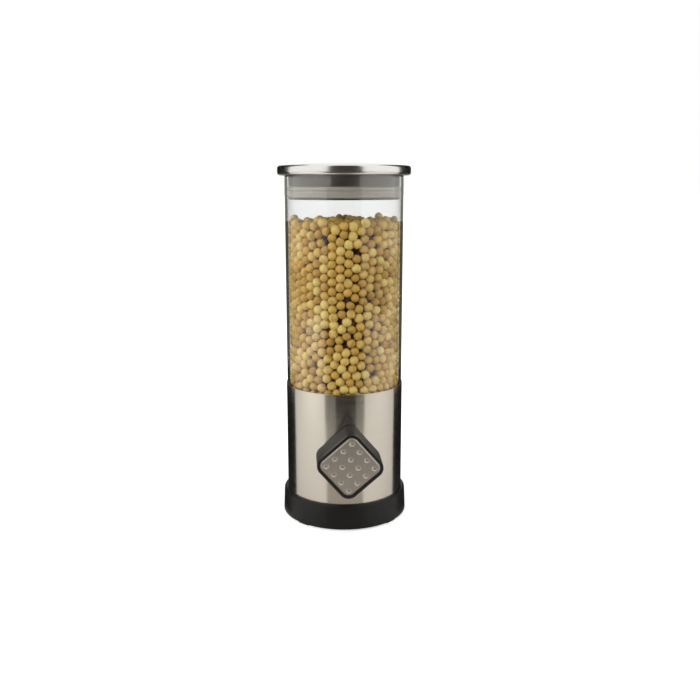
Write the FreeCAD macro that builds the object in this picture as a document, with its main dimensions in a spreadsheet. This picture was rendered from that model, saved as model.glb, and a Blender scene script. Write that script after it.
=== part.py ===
# Dispenser jar for dry food: a clear tube on a metal-sleeved base, with a lift-off lid and a
# knob at the front that turns a dosing wheel under the tube.
# Frame: millimetres, Z up, floor at Z = 0, jar axis on Z, knob towards -Y.
import FreeCAD
import Part
import math
import os

import Sketcher
from FreeCAD import Placement, Rotation, Vector

# Driving sizes in millimetres and degrees
SIZES = (
    # Clear tube
    ("tube_dia", 96.0),
    ("tube_wall", 2.2),
    ("tube_length", 185.2),
    ("tube_edge_round", 0.8),
    # Lid cover
    ("lid_dia", 107.4),
    ("lid_height", 7.7),
    ("lid_crown", 2.0),
    ("lid_flat_dia", 8.0),
    ("lid_sheet", 0.8),
    ("lid_edge_round", 2.6),
    ("lid_curl", 3.4),
    # Lid plug and seal
    ("plug_depth", 18.8),
    ("plug_wall", 2.4),
    ("plug_floor", 2.0),
    ("plug_lip", 1.2),
    ("plug_dish", 1.0),
    ("seal_height", 9.0),
    ("seal_section", 3.6),
    ("seal_gap", 0.2),
    ("seal_rib_height", 2.8),
    ("seal_rib_depth", 0.7),
    # Base ring, feet and base screws
    ("base_height", 20.2),
    ("base_wall", 2.9),
    ("base_flare", 0.85),
    ("base_recess", 4.2),
    ("base_floor", 3.0),
    ("base_rim", 7.0),
    ("base_top_round", 1.9),
    ("base_bottom_round", 0.8),
    ("outlet_margin", 4.0),
    ("foot_height", 0.8),
    ("foot_angle", 12.0),
    ("foot_margin", 0.8),
    ("base_screw_length", 14.0),
    # Metal sleeve and inner shell
    ("sleeve_wall", 0.6),
    ("shell_wall", 2.4),
    ("shell_flange", 3.0),
    ("shell_flange_width", 13.0),
    ("seat_depth", 4.0),
    ("seat_width", 4.6),
    ("seat_thickness", 2.0),
    ("gasket_height", 1.5),
    ("tube_overlap", 15.5),
    # Funnel
    ("funnel_depth", 19.8),
    ("funnel_drop", 1.7),
    ("funnel_wall", 2.0),
    ("funnel_land", 1.4),
    ("throat_dia", 26.0),
    ("throat_rise", 1.0),
    ("throat_wall", 1.8),
    ("spigot_length", 3.0),
    # Drum housing
    ("axle_height", 63.0),
    ("barrel_wall", 2.5),
    ("rear_wall", 3.0),
    ("chute_drop", 2.2),
    ("foot_flange", 2.5),
    ("foot_flange_margin", 5.0),
    ("rib_thickness", 2.4),
    ("rib_reach", 2.0),
    ("post_dia", 7.0),
    ("post_height", 12.0),
    ("post_inset", 1.5),
    ("ear_dia", 6.8),
    ("ear_length", 9.0),
    # Front plate and its screws
    ("plate_thickness", 3.0),
    ("boss_wall", 2.5),
    ("boss_recess", 0.6),
    ("plate_screw_length", 9.0),
    # Fasteners
    ("screw_dia", 3.0),
    ("screw_head_dia", 5.6),
    ("screw_head_height", 2.0),
    ("screw_socket", 2.5),
    ("screw_socket_depth", 1.2),
    # Dosing wheel
    ("wheel_dia", 46.0),
    ("wheel_width", 36.0),
    ("wheel_gap", 0.5),
    ("hub_dia", 18.0),
    ("vane_root", 3.0),
    ("vane_thickness", 2.0),
    ("vane_tip", 1.2),
    # Shaft, bushes, washer and clip
    ("shaft_dia", 8.0),
    ("shaft_flats", 6.6),
    ("tail_dia", 6.0),
    ("tail_end", 1.6),
    ("bush_wall", 2.0),
    ("bush_length", 10.0),
    ("bush_flange", 0.8),
    ("bush_collar", 1.8),
    ("washer_dia", 13.0),
    ("washer_thickness", 0.6),
    ("clip_dia", 11.0),
    ("clip_thickness", 0.8),
    ("clip_groove", 0.7),
    # Knob
    ("knob_side", 41.0),
    ("knob_corner", 8.0),
    ("knob_depth", 27.0),
    ("knob_wall", 2.6),
    ("knob_front_wall", 5.5),
    ("knob_boss_wall", 3.6),
    ("knob_back_round", 1.0),
    ("knob_turn", 41.0),
    ("rim_width", 2.0),
    ("rim_depth", 3.2),
    ("rim_edge_round", 0.6),
    ("face_thickness", 1.2),
    ("face_inset", 0.3),
    ("face_bevel", 0.7),
    ("dimple_pitch", 8.8),
    ("dimple_dia", 4.4),
    ("dimple_depth", 0.8),
    ("knob_screw_dia", 4.0),
    ("knob_screw_head_dia", 7.6),
    ("knob_screw_head_height", 2.4),
    ("knob_screw_length", 14.0),
    ("knob_web", 2.5),
    # Bean fill
    ("fill_headroom", 16.9),
    ("fill_heap", 5.0),
    ("fill_gap", 0.3),
    ("lump_pitch", 14.4),
    ("lump_width", 14.2),
    ("lump_tip_width", 7.5),
    ("lump_relief", 6.3),
    ("lump_root", 1.5),
    # Fits
    ("slip_gap", 0.1),
    ("running_gap", 0.05),
    ("axial_gap", 0.3),
)

doc = FreeCAD.newDocument("dispenser_jar")
sheet = doc.addObject("Spreadsheet::Sheet", "sizes")
for row, (alias, number) in enumerate(SIZES, start=1):
    sheet.set(f"A{row}", alias)
    sheet.set(f"B{row}", str(number))
    sheet.setAlias(f"B{row}", alias)
doc.recompute()

# Radii from the jar axis
TUBE_R = "(sizes.tube_dia / 2)"
TUBE_IN_R = f"({TUBE_R} - sizes.tube_wall)"
SLEEVE_IN_R = f"({TUBE_R} + sizes.slip_gap)"
SLEEVE_R = f"({SLEEVE_IN_R} + sizes.sleeve_wall)"
BASE_IN_R = f"({SLEEVE_R} + sizes.slip_gap)"
BASE_TOP_R = f"({BASE_IN_R} + sizes.base_wall)"
BASE_R = f"({BASE_TOP_R} + sizes.base_flare)"
SHELL_IN_R = f"({TUBE_R} - sizes.shell_wall)"
COLLAR_R = f"({TUBE_IN_R} - 2 * sizes.slip_gap)"
FUNNEL_MOUTH_R = f"({COLLAR_R} - sizes.funnel_land)"
THROAT_R = "(sizes.throat_dia / 2)"
SPIGOT_R = f"({THROAT_R} + sizes.throat_wall)"
NECK_IN_R = f"({SPIGOT_R} + sizes.slip_gap)"
NECK_R = f"({NECK_IN_R} + sizes.barrel_wall)"
CHAMBER_R = "(sizes.wheel_dia / 2 + sizes.wheel_gap)"
CHAMBER_HALF = "(sizes.wheel_width / 2 + sizes.wheel_gap)"
CHUTE_OUT_R = f"({CHAMBER_HALF} - sizes.axial_gap)"
CHUTE_R = f"({CHUTE_OUT_R} - sizes.barrel_wall)"
FOOT_FLANGE_R = f"({SHELL_IN_R} - sizes.foot_flange_margin)"
POST_CIRCLE_R = f"({FOOT_FLANGE_R} - sizes.post_inset - sizes.post_dia / 2)"
FILL_R = f"({TUBE_IN_R} - sizes.fill_gap)"
FILL_CORE_R = f"({FILL_R} - sizes.lump_relief)"
LID_R = "(sizes.lid_dia / 2)"
PLUG_FLANGE_R = f"({LID_R} - sizes.lid_sheet - sizes.slip_gap)"
PLUG_STEP_R = f"({LID_R} - sizes.lid_curl - sizes.slip_gap)"
SEAL_R = f"({TUBE_IN_R} - sizes.seal_gap)"
SEAL_IN_R = f"({SEAL_R} - sizes.seal_section)"
PLUG_NECK_R = f"({SEAL_R} - sizes.seal_rib_depth)"

# Heights above the floor
BASE_Z = "sizes.foot_height"
LEDGE_Z = f"({BASE_Z} + sizes.base_recess + sizes.base_floor)"
BASE_TOP_Z = f"({BASE_Z} + sizes.base_height)"
POST_Z = f"({LEDGE_Z} + sizes.shell_flange)"
CHUTE_Z = f"({BASE_Z} + sizes.chute_drop)"
AXLE_Z = "sizes.axle_height"
THROAT_Z = f"({AXLE_Z} + {CHAMBER_R} + sizes.throat_rise)"
NECK_TOP_Z = f"({THROAT_Z} + sizes.spigot_length)"
CONE_Z = f"({NECK_TOP_Z} + sizes.throat_rise)"
FUNNEL_TOP_Z = f"({CONE_Z} + sizes.funnel_depth)"
SLEEVE_TOP_Z = f"({FUNNEL_TOP_Z} + sizes.funnel_drop)"
TUBE_Z = f"({SLEEVE_TOP_Z} - sizes.tube_overlap)"
SHELL_TOP_Z = f"({TUBE_Z} - sizes.gasket_height)"
SEAT_Z = f"({SHELL_TOP_Z} - sizes.seat_depth)"
TUBE_TOP_Z = f"({TUBE_Z} + sizes.tube_length)"
PLUG_Z = f"({TUBE_TOP_Z} - sizes.plug_depth)"
FILL_Z = f"({PLUG_Z} - sizes.fill_headroom)"
FILL_CORE_Z = f"({FILL_Z} - sizes.lump_relief)"
FILL_FOOT_Z = f"({FUNNEL_TOP_Z} + sizes.fill_gap)"

# Lengths along the axle, measured forward from the jar axis
BARREL_R = f"({CHAMBER_R} + sizes.barrel_wall)"
REAR_FACE = f"({CHAMBER_HALF} + sizes.rear_wall)"
PLATE_FACE = f"({CHAMBER_HALF} + sizes.plate_thickness)"
EAR_CIRCLE_R = f"({BARREL_R} + sizes.ear_dia / 4)"
BUSH_R = "(sizes.shaft_dia / 2 + sizes.running_gap + sizes.bush_wall)"
REAR_BUSH_R = "(sizes.tail_dia / 2 + sizes.running_gap + sizes.bush_wall)"
BOSS_R = f"({BUSH_R} + sizes.slip_gap + sizes.boss_wall)"
BOSS_END = f"({SLEEVE_R} - sizes.boss_recess)"
BUSH_FACE = f"({BOSS_END} + sizes.bush_flange)"
KNOB_BACK = f"({BUSH_FACE} + sizes.axial_gap + sizes.washer_thickness)"
KNOB_FRONT = f"({KNOB_BACK} + sizes.knob_depth)"
KNOB_FACE = f"({KNOB_FRONT} - sizes.rim_depth)"
FACE_SEAT = f"({KNOB_FRONT} - sizes.face_inset - sizes.face_thickness)"
SCREW_SEAT = f"({KNOB_FACE} - sizes.knob_screw_head_height - sizes.axial_gap)"
SHAFT_END = f"({SCREW_SEAT} - sizes.knob_web)"
CLIP_BACK = f"(-{REAR_FACE} - sizes.bush_flange - sizes.axial_gap - sizes.clip_thickness)"
SHAFT_TAIL = f"({CLIP_BACK} - sizes.tail_end)"
FACE_SIDE = "(sizes.knob_side - 2 * sizes.rim_width - 2 * sizes.slip_gap)"
FACE_CORNER = "(sizes.knob_corner - sizes.rim_width - sizes.slip_gap)"

UP = Rotation()
FORWARD = Rotation(Vector(1, 0, 0), 90)
QUARTERS = (45, 135, 225, 315)


def value(expression):
    """Number that an expression over the sizes gives now."""
    result = sheet.evalExpression(expression)
    return float(getattr(result, "Value", result))


def bind(thing, path, expression):
    """Tie one property of an object to an expression over the sizes."""
    thing.setExpression(path, expression)


def part_body(label, forward=False, turned=False):
    """Empty body: upright on the jar axis, or lying on the axle with its Z pointing forward."""
    body = doc.addObject("PartDesign::Body", label)
    body.AllowCompound = True
    if forward:
        turn = value("sizes.knob_turn") if turned else 0.0
        body.Placement = Placement(Vector(0, 0, value(AXLE_Z)), FORWARD * Rotation(Vector(0, 0, 1), turn))
        bind(body, ".Placement.Base.z", AXLE_Z)
    return body


def plane_of(body, role):
    """One of a body's own axes or planes."""
    return next(item for item in body.Origin.OriginFeatures if item.Role == role)


def blank_sketch(body, name, plane="XY_Plane", height=None, turn=None):
    """Empty sketch on a plane of the body, raised along the normal and turned about it if asked."""
    sketch = body.newObject("Sketcher::SketchObject", name)
    sketch.AttachmentSupport = (plane_of(body, plane), [""])
    sketch.MapMode = "FlatFace"
    if turn:
        sketch.AttachmentOffset = Placement(Vector(), Rotation(Vector(0, 0, 1), value(turn)))
    if height:
        bind(sketch, ".AttachmentOffset.Base.z", height)
    return sketch


def hold(sketch, kind, geometry, point, expression):
    """Fix one coordinate of a sketch point: on the axis when zero, else by a driven distance."""
    if expression == "0":
        sketch.addConstraint(Sketcher.Constraint("PointOnObject", geometry, point, -2 if kind == "X" else -1))
        return
    rule = Sketcher.Constraint("Distance" + kind, -1, 1, geometry, point, value(expression))
    bind(sketch, f"Constraints[{sketch.addConstraint(rule)}]", expression)


def draw_outline(sketch, points, crowns=()):
    """Closed outline through points; sides listed in crowns are arcs centred on the upright axis."""
    corners = [Vector(value(across), value(up), 0) for across, up in points]
    first = sketch.GeometryCount
    count = len(points)
    for index, start in enumerate(corners):
        end = corners[(index + 1) % count]
        if index in crowns:
            lift = (start.x ** 2 - end.x ** 2 + start.y ** 2 - end.y ** 2) / (2 * (start.y - end.y))
            middle = Vector(0, lift, 0)
            circle = Part.Circle(middle, Vector(0, 0, 1), start.distanceToPoint(middle))
            turns = sorted((circle.parameter(start), circle.parameter(end)))
            sketch.addGeometry(Part.ArcOfCircle(circle, turns[0], turns[1]))
        else:
            sketch.addGeometry(Part.LineSegment(start, end))
    heads = []
    for index, start in enumerate(corners):
        shape = sketch.Geometry[first + index]
        heads.append(1 if shape.StartPoint.distanceToPoint(start) < 1e-6 else 2)
    for index in range(count):
        after = (index + 1) % count
        tail = 3 - heads[index]
        sketch.addConstraint(
            Sketcher.Constraint("Coincident", first + index, tail, first + after, heads[after]))
        hold(sketch, "X", first + index, heads[index], points[index][0])
        hold(sketch, "Y", first + index, heads[index], points[index][1])
        if index in crowns:
            sketch.addConstraint(Sketcher.Constraint("PointOnObject", first + index, 3, -2))


def draw_circle(sketch, radius, across="0", up="0"):
    """Circle with a driven radius and centre."""
    centre = Vector(value(across), value(up), 0)
    index = sketch.addGeometry(Part.Circle(centre, Vector(0, 0, 1), value(radius)))
    hold(sketch, "X", index, 3, across)
    hold(sketch, "Y", index, 3, up)
    rule = sketch.addConstraint(Sketcher.Constraint("Radius", index, value(radius)))
    bind(sketch, f"Constraints[{rule}]", radius)


def draw_rounded_square(sketch, side, corner):
    """Square about the origin with equal rounded corners."""
    reach = value(side) / 2
    radius = value(corner)
    inner = reach - radius
    first = sketch.GeometryCount
    for quarter in range(4):
        spin = Rotation(Vector(0, 0, 1), 90 * quarter)
        start = spin.multVec(Vector(reach, -inner, 0))
        end = spin.multVec(Vector(reach, inner, 0))
        middle = spin.multVec(Vector(inner + radius * 0.5 ** 0.5, inner + radius * 0.5 ** 0.5, 0))
        finish = spin.multVec(Vector(inner, reach, 0))
        sketch.addGeometry(Part.LineSegment(start, end))
        sketch.addGeometry(Part.Arc(end, middle, finish))
    for quarter in range(4):
        line = first + 2 * quarter
        arc = line + 1
        following = first + (2 * quarter + 2) % 8
        sketch.addConstraint(Sketcher.Constraint("Tangent", line, 2, arc, 1))
        sketch.addConstraint(Sketcher.Constraint("Tangent", arc, 2, following, 1))
        axis = ("X", "Y")[quarter % 2]
        sign = "" if quarter < 2 else "-"
        hold(sketch, axis, line, 1, f"{sign}{side} / 2")
        sketch.addConstraint(Sketcher.Constraint(("Vertical", "Horizontal")[quarter % 2], line))
        if quarter:
            sketch.addConstraint(Sketcher.Constraint("Equal", first + 1, arc))
    rule = sketch.addConstraint(Sketcher.Constraint("Radius", first + 1, radius))
    bind(sketch, f"Constraints[{rule}]", corner)


def draw_double_flat(sketch, radius, flats):
    """Round section with two parallel flats, as on the shaft's driving ends."""
    half = value(flats) / 2
    reach = (value(radius) ** 2 - half ** 2) ** 0.5
    right = sketch.addGeometry(
        Part.Arc(Vector(reach, -half, 0), Vector(value(radius), 0, 0), Vector(reach, half, 0)))
    top = sketch.addGeometry(Part.LineSegment(Vector(reach, half, 0), Vector(-reach, half, 0)))
    left = sketch.addGeometry(
        Part.Arc(Vector(-reach, half, 0), Vector(-value(radius), 0, 0), Vector(-reach, -half, 0)))
    bottom = sketch.addGeometry(Part.LineSegment(Vector(-reach, -half, 0), Vector(reach, -half, 0)))
    for one, other in ((right, top), (top, left), (left, bottom), (bottom, right)):
        sketch.addConstraint(Sketcher.Constraint("Coincident", one, 2, other, 1))
    for arc in (right, left):
        sketch.addConstraint(Sketcher.Constraint("Coincident", arc, 3, -1, 1))
    sketch.addConstraint(Sketcher.Constraint("Equal", right, left))
    for line, sign in ((top, ""), (bottom, "-")):
        sketch.addConstraint(Sketcher.Constraint("Horizontal", line))
        hold(sketch, "Y", line, 1, f"{sign}{flats} / 2")
    rule = sketch.addConstraint(Sketcher.Constraint("Radius", right, value(radius)))
    bind(sketch, f"Constraints[{rule}]", radius)


def revolve(body, name, points, crowns=(), angle=None):
    """Turned solid about the body's Z axis from an outline of radius and height."""
    sketch = blank_sketch(body, name + "_outline", "XZ_Plane")
    draw_outline(sketch, points, crowns)
    turn = body.newObject("PartDesign::Revolution", name)
    turn.Profile = sketch
    turn.ReferenceAxis = (sketch, ["V_Axis"])
    turn.Angle = 360
    if angle:
        turn.Midplane = True
        bind(turn, "Angle", angle)
    doc.recompute()
    return turn


def pad(body, sketch, name, length, centred=False):
    """Solid raised from a sketch along its normal, or evenly to both sides."""
    feature = body.newObject("PartDesign::Pad", name)
    feature.Profile = sketch
    feature.SideType = "Symmetric" if centred else "One side"
    bind(feature, "Length", length)
    doc.recompute()
    return feature


def pocket(body, sketch, name, length=None, along=True):
    """Cut from a sketch along its normal, or against it; right through when no length is given."""
    feature = body.newObject("PartDesign::Pocket", name)
    feature.Profile = sketch
    feature.Reversed = along
    if length:
        feature.Type = "Length"
        bind(feature, "Length", length)
    else:
        feature.Type = "ThroughAll"
    doc.recompute()
    return feature


def ring_pattern(body, feature, name, copies):
    """Repeat a feature evenly round the body's Z axis."""
    pattern = body.newObject("PartDesign::PolarPattern", name)
    pattern.Originals = [feature]
    pattern.Axis = (plane_of(body, "Z_Axis"), [""])
    pattern.Angle = 360
    pattern.Occurrences = copies
    body.Tip = pattern
    doc.recompute()
    return pattern


def round_rings(body, feature, name, radius, rings):
    """Fillet the circular edges found at the given radii and heights."""
    names = []
    for ring_radius, ring_height in rings:
        for index, edge in enumerate(feature.Shape.Edges, start=1):
            circle = edge.Curve if isinstance(edge.Curve, Part.Circle) else None
            if circle is None or abs(circle.Radius - value(ring_radius)) > 1e-4:
                continue
            if abs(circle.Center.z - value(ring_height)) < 1e-4:
                names.append(f"Edge{index}")
    fillet = body.newObject("PartDesign::Fillet", name)
    fillet.Base = (feature, names)
    bind(fillet, "Radius", radius)
    doc.recompute()
    return fillet


def round_face_edges(body, feature, name, radius, height, kind="Fillet"):
    """Fillet or chamfer the outer edges of a body's flat face at one height."""
    faces = [face for face in feature.Shape.Faces if abs(face.CenterOfMass.z - value(height)) < 1e-4]
    face = max(faces, key=lambda item: item.Area)
    wanted = [edge.CenterOfMass for edge in face.OuterWire.Edges]
    names = []
    for index, edge in enumerate(feature.Shape.Edges, start=1):
        if any(edge.CenterOfMass.distanceToPoint(point) < 1e-4 for point in wanted):
            names.append(f"Edge{index}")
    blend = body.newObject("PartDesign::" + kind, name)
    blend.Base = (feature, names)
    bind(blend, "Radius" if kind == "Fillet" else "Size", radius)
    doc.recompute()
    return blend


def rod(name, radius, length, at=("0", "0", "0"), rotation=UP):
    """Plain cylinder from a starting point, upright or pointing forward."""
    shape = doc.addObject("Part::Cylinder", name)
    shape.Placement = Placement(Vector(*(value(item) for item in at)), rotation)
    bind(shape, "Radius", radius)
    bind(shape, "Height", length)
    for letter, expression in zip("xyz", at):
        bind(shape, f".Placement.Base.{letter}", expression)
    return shape


def prism(name, across, length, at, rotation=UP, sides=6):
    """Prism with an even number of sides, measured across its flats, such as a driver recess."""
    shape = doc.addObject("Part::Prism", name)
    shape.Polygon = sides
    shape.Placement = Placement(Vector(*(value(item) for item in at)), rotation)
    bind(shape, "Circumradius", f"{across} / 2 / cos({180 / sides} deg)")
    bind(shape, "Height", length)
    for letter, expression in zip("xyz", at):
        bind(shape, f".Placement.Base.{letter}", expression)
    return shape


def block(name, length, width, height, at):
    """Plain box from its lowest corner."""
    shape = doc.addObject("Part::Box", name)
    bind(shape, "Length", length)
    bind(shape, "Width", width)
    bind(shape, "Height", height)
    for letter, expression in zip("xyz", at):
        bind(shape, f".Placement.Base.{letter}", expression)
    return shape


def lump(name, length, at, rotation):
    """Square lump that narrows to its tip, pointing the way its rotation turns the Y axis."""
    shape = doc.addObject("Part::Wedge", name)
    shape.Placement = Placement(Vector(*(value(item) for item in at)), rotation)
    shape.Ymin = 0
    bind(shape, "Ymax", length)
    for letter in "XZ":
        bind(shape, letter + "min", "-sizes.lump_width / 2")
        bind(shape, letter + "max", "sizes.lump_width / 2")
        bind(shape, letter + "2min", "-sizes.lump_tip_width / 2")
        bind(shape, letter + "2max", "sizes.lump_tip_width / 2")
    for letter, expression in zip("xyz", at):
        bind(shape, f".Placement.Base.{letter}", expression)
    return shape


def joined(name, shapes):
    """One shape from several that meet."""
    result = doc.addObject("Part::MultiFuse", name)
    result.Shapes = shapes
    result.Refine = False
    doc.recompute()
    return result


def carved(name, base, tools):
    """A shape with several others taken out of it."""
    result = doc.addObject("Part::Cut", name)
    result.Base = base
    result.Tool = joined(name + "_tools", tools) if len(tools) > 1 else tools[0]
    result.Refine = True
    doc.recompute()
    return result


def on_circle(radius, degrees, height):
    """Point on a circle round the jar axis."""
    return (f"{radius} * cos({degrees})", f"{radius} * sin({degrees})", height)


def on_axle_circle(radius, degrees, depth):
    """Point on a circle round the axle, at a depth forward of the jar axis."""
    return (f"{radius} * cos({degrees})", f"-{depth}", f"{AXLE_Z} + {radius} * sin({degrees})")


nodes = []

# Base ring: flared skirt with a floor that carries the shell, open in the middle for the outlet
base_ring = part_body("base_ring")
OUTLET_R = f"({CHUTE_OUT_R} + sizes.outlet_margin)"
base_turn = revolve(base_ring, "base_turn", [
    (BASE_R, BASE_Z),
    (BASE_TOP_R, BASE_TOP_Z),
    (BASE_IN_R, BASE_TOP_Z),
    (BASE_IN_R, LEDGE_Z),
    (OUTLET_R, LEDGE_Z),
    (OUTLET_R, f"{BASE_Z} + sizes.base_recess"),
    (f"{BASE_R} - sizes.base_rim", f"{BASE_Z} + sizes.base_recess"),
    (f"{BASE_R} - sizes.base_rim", BASE_Z)])
base_top = round_rings(base_ring, base_turn, "base_top_edge", "sizes.base_top_round",
                       [(BASE_TOP_R, BASE_TOP_Z)])
round_rings(base_ring, base_top, "base_bottom_edge", "sizes.base_bottom_round", [(BASE_R, BASE_Z)])
base_hole_sketch = blank_sketch(base_ring, "base_hole_circle", turn="45")
draw_circle(base_hole_sketch, "sizes.screw_dia / 2 + sizes.slip_gap", POST_CIRCLE_R)
base_hole = pocket(base_ring, base_hole_sketch, "base_hole", LEDGE_Z + " + sizes.slip_gap")
ring_pattern(base_ring, base_hole, "base_holes", 4)
nodes.append(base_ring)

# Base feet: four soft pads under the skirt
base_feet = part_body("base_feet")
base_feet.Placement = Placement(Vector(), Rotation(Vector(0, 0, 1), 45))
FOOT_R = f"({BASE_R} - sizes.base_bottom_round - sizes.foot_margin / 4)"
FOOT_IN_R = f"({BASE_R} - sizes.base_rim + sizes.foot_margin)"
foot = revolve(base_feet, "foot", [
    (FOOT_R, "0"),
    (FOOT_R, BASE_Z),
    (FOOT_IN_R, BASE_Z),
    (FOOT_IN_R, "0")], angle="sizes.foot_angle")
ring_pattern(base_feet, foot, "feet", 4)
nodes.append(base_feet)

# Metal sleeve: thin sheet tube with a hole at the front for the axle boss
steel_sleeve = part_body("steel_sleeve")
revolve(steel_sleeve, "sleeve_turn", [
    (SLEEVE_IN_R, LEDGE_Z),
    (SLEEVE_R, LEDGE_Z),
    (SLEEVE_R, SLEEVE_TOP_Z),
    (SLEEVE_IN_R, SLEEVE_TOP_Z)])
sleeve_hole_sketch = blank_sketch(steel_sleeve, "sleeve_hole_circle", "XZ_Plane")
draw_circle(sleeve_hole_sketch, f"{BOSS_R} + sizes.axial_gap", "0", AXLE_Z)
pocket(steel_sleeve, sleeve_hole_sketch, "sleeve_hole")
nodes.append(steel_sleeve)

# Inner shell: stands on the base floor, carries the funnel on an inner seat and the tube on its top
inner_shell = part_body("inner_shell")
FLANGE_IN_R = f"({SHELL_IN_R} - sizes.shell_flange_width)"
SEAT_IN_R = f"({SHELL_IN_R} - sizes.seat_width)"
revolve(inner_shell, "shell_turn", [
    (TUBE_R, LEDGE_Z),
    (TUBE_R, SHELL_TOP_Z),
    (SHELL_IN_R, SHELL_TOP_Z),
    (SHELL_IN_R, SEAT_Z),
    (SEAT_IN_R, SEAT_Z),
    (SEAT_IN_R, f"{SEAT_Z} - sizes.seat_thickness"),
    (SHELL_IN_R, f"{SEAT_Z} - sizes.seat_thickness"),
    (SHELL_IN_R, POST_Z),
    (FLANGE_IN_R, POST_Z),
    (FLANGE_IN_R, LEDGE_Z)])
shell_front_sketch = blank_sketch(inner_shell, "shell_front_circle", "XZ_Plane")
draw_circle(shell_front_sketch, f"{BOSS_R} + sizes.axial_gap", "0", AXLE_Z)
pocket(inner_shell, shell_front_sketch, "shell_front_hole")
shell_hole_sketch = blank_sketch(inner_shell, "shell_hole_circle", turn="45")
draw_circle(shell_hole_sketch, "sizes.screw_dia / 2 + sizes.slip_gap", POST_CIRCLE_R)
shell_hole = pocket(inner_shell, shell_hole_sketch, "shell_hole", POST_Z + " + sizes.slip_gap")
ring_pattern(inner_shell, shell_hole, "shell_holes", 4)
nodes.append(inner_shell)

# Drum housing: barrel round the wheel with an inlet neck above, a drop hole below and ears at the front
barrel = rod("barrel", BARREL_R, f"{CHAMBER_HALF} + {REAR_FACE}", ("0", REAR_FACE, AXLE_Z), FORWARD)
neck = rod("neck", NECK_R, f"{NECK_TOP_Z} - {AXLE_Z}", ("0", "0", AXLE_Z))
housing_core = joined("housing_core", [barrel, neck])
HOLE_R = "sizes.screw_dia / 2 + sizes.running_gap"
housing_cuts = [
    rod("chamber", CHAMBER_R, f"2 * {CHAMBER_HALF} + 1", ("0", CHAMBER_HALF, AXLE_Z), FORWARD),
    rod("neck_bore", NECK_IN_R, f"{NECK_TOP_Z} - {AXLE_Z} + 1", ("0", "0", AXLE_Z)),
    rod("drop_hole", CHUTE_R, f"{BARREL_R} + 1", ("0", "0", f"{AXLE_Z} - {BARREL_R} - 1")),
    rod("rear_bore", f"{REAR_BUSH_R} + sizes.slip_gap", "sizes.rear_wall + 2",
        ("0", f"{REAR_FACE} + 1", AXLE_Z), FORWARD)]
ears = []
for degrees in QUARTERS:
    ear_at = on_axle_circle(EAR_CIRCLE_R, degrees, f"({CHAMBER_HALF} - sizes.ear_length)")
    ears.append(rod(f"ear_{degrees}", "sizes.ear_dia / 2", "sizes.ear_length", ear_at, FORWARD))
    hole_at = on_axle_circle(EAR_CIRCLE_R, degrees, f"({CHAMBER_HALF} - sizes.ear_length + 1)")
    housing_cuts.append(rod(f"ear_hole_{degrees}", HOLE_R, "sizes.ear_length", hole_at, FORWARD))
drum_housing = carved("drum_housing", joined("housing_blank", [housing_core] + ears), housing_cuts)
nodes.append(drum_housing)

# Chute stand: outlet tube on a foot flange, with a saddle and side ribs for the barrel and four screw posts
chute = rod("chute", CHUTE_OUT_R, f"{AXLE_Z} - {CHUTE_Z}", ("0", "0", CHUTE_Z))
foot_plate = rod("foot_plate", FOOT_FLANGE_R, "sizes.foot_flange", ("0", "0", POST_Z))
RIB_HALF = f"({BARREL_R} + sizes.rib_reach)"
ROOT_Z = f"({POST_Z} + sizes.foot_flange / 2)"
rib = block("rib", f"2 * {RIB_HALF}", "sizes.rib_thickness", f"{AXLE_Z} - {ROOT_Z}",
            (f"-{RIB_HALF}", "-sizes.rib_thickness / 2", ROOT_Z))
stand_core = joined("stand_core", [chute, foot_plate, rib])
posts = []
stand_cuts = [
    rod("saddle", f"{BARREL_R} + sizes.running_gap", f"{CHAMBER_HALF} + {REAR_FACE} + 2",
        ("0", f"{REAR_FACE} + 1", AXLE_Z), FORWARD),
    rod("chute_bore", CHUTE_R, f"{AXLE_Z} - {CHUTE_Z} + 1", ("0", "0", f"{CHUTE_Z} - 1"))]
for degrees in QUARTERS:
    post_at = on_circle(POST_CIRCLE_R, degrees, ROOT_Z)
    posts.append(rod(f"post_{degrees}", "sizes.post_dia / 2", "sizes.post_height", post_at))
    stand_cuts.append(rod(f"post_hole_{degrees}", HOLE_R, "sizes.post_height - 0.5",
                          on_circle(POST_CIRCLE_R, degrees, f"{POST_Z} - 0.5")))
chute_stand = carved("chute_stand", joined("stand_blank", [stand_core] + posts), stand_cuts)
nodes.append(chute_stand)

# Base screws: hold base, shell and housing together from below
BASE_SCREW_Z = f"({BASE_Z} + sizes.base_recess)"
base_screw_adds = []
base_screw_cuts = []
for degrees in QUARTERS:
    head_at = on_circle(POST_CIRCLE_R, degrees, f"{BASE_SCREW_Z} - sizes.screw_head_height")
    base_screw_adds.append(rod(f"base_head_{degrees}", "sizes.screw_head_dia / 2",
                               "sizes.screw_head_height", head_at))
    shank_at = on_circle(POST_CIRCLE_R, degrees, BASE_SCREW_Z)
    base_screw_adds.append(rod(f"base_shank_{degrees}", "sizes.screw_dia / 2",
                               "sizes.base_screw_length", shank_at))
    base_screw_cuts.append(prism(f"base_socket_{degrees}", "sizes.screw_socket",
                                  "sizes.screw_socket_depth", head_at))
base_screws = carved("base_screws", joined("base_screw_blanks", base_screw_adds), base_screw_cuts)
nodes.append(base_screws)

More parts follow.
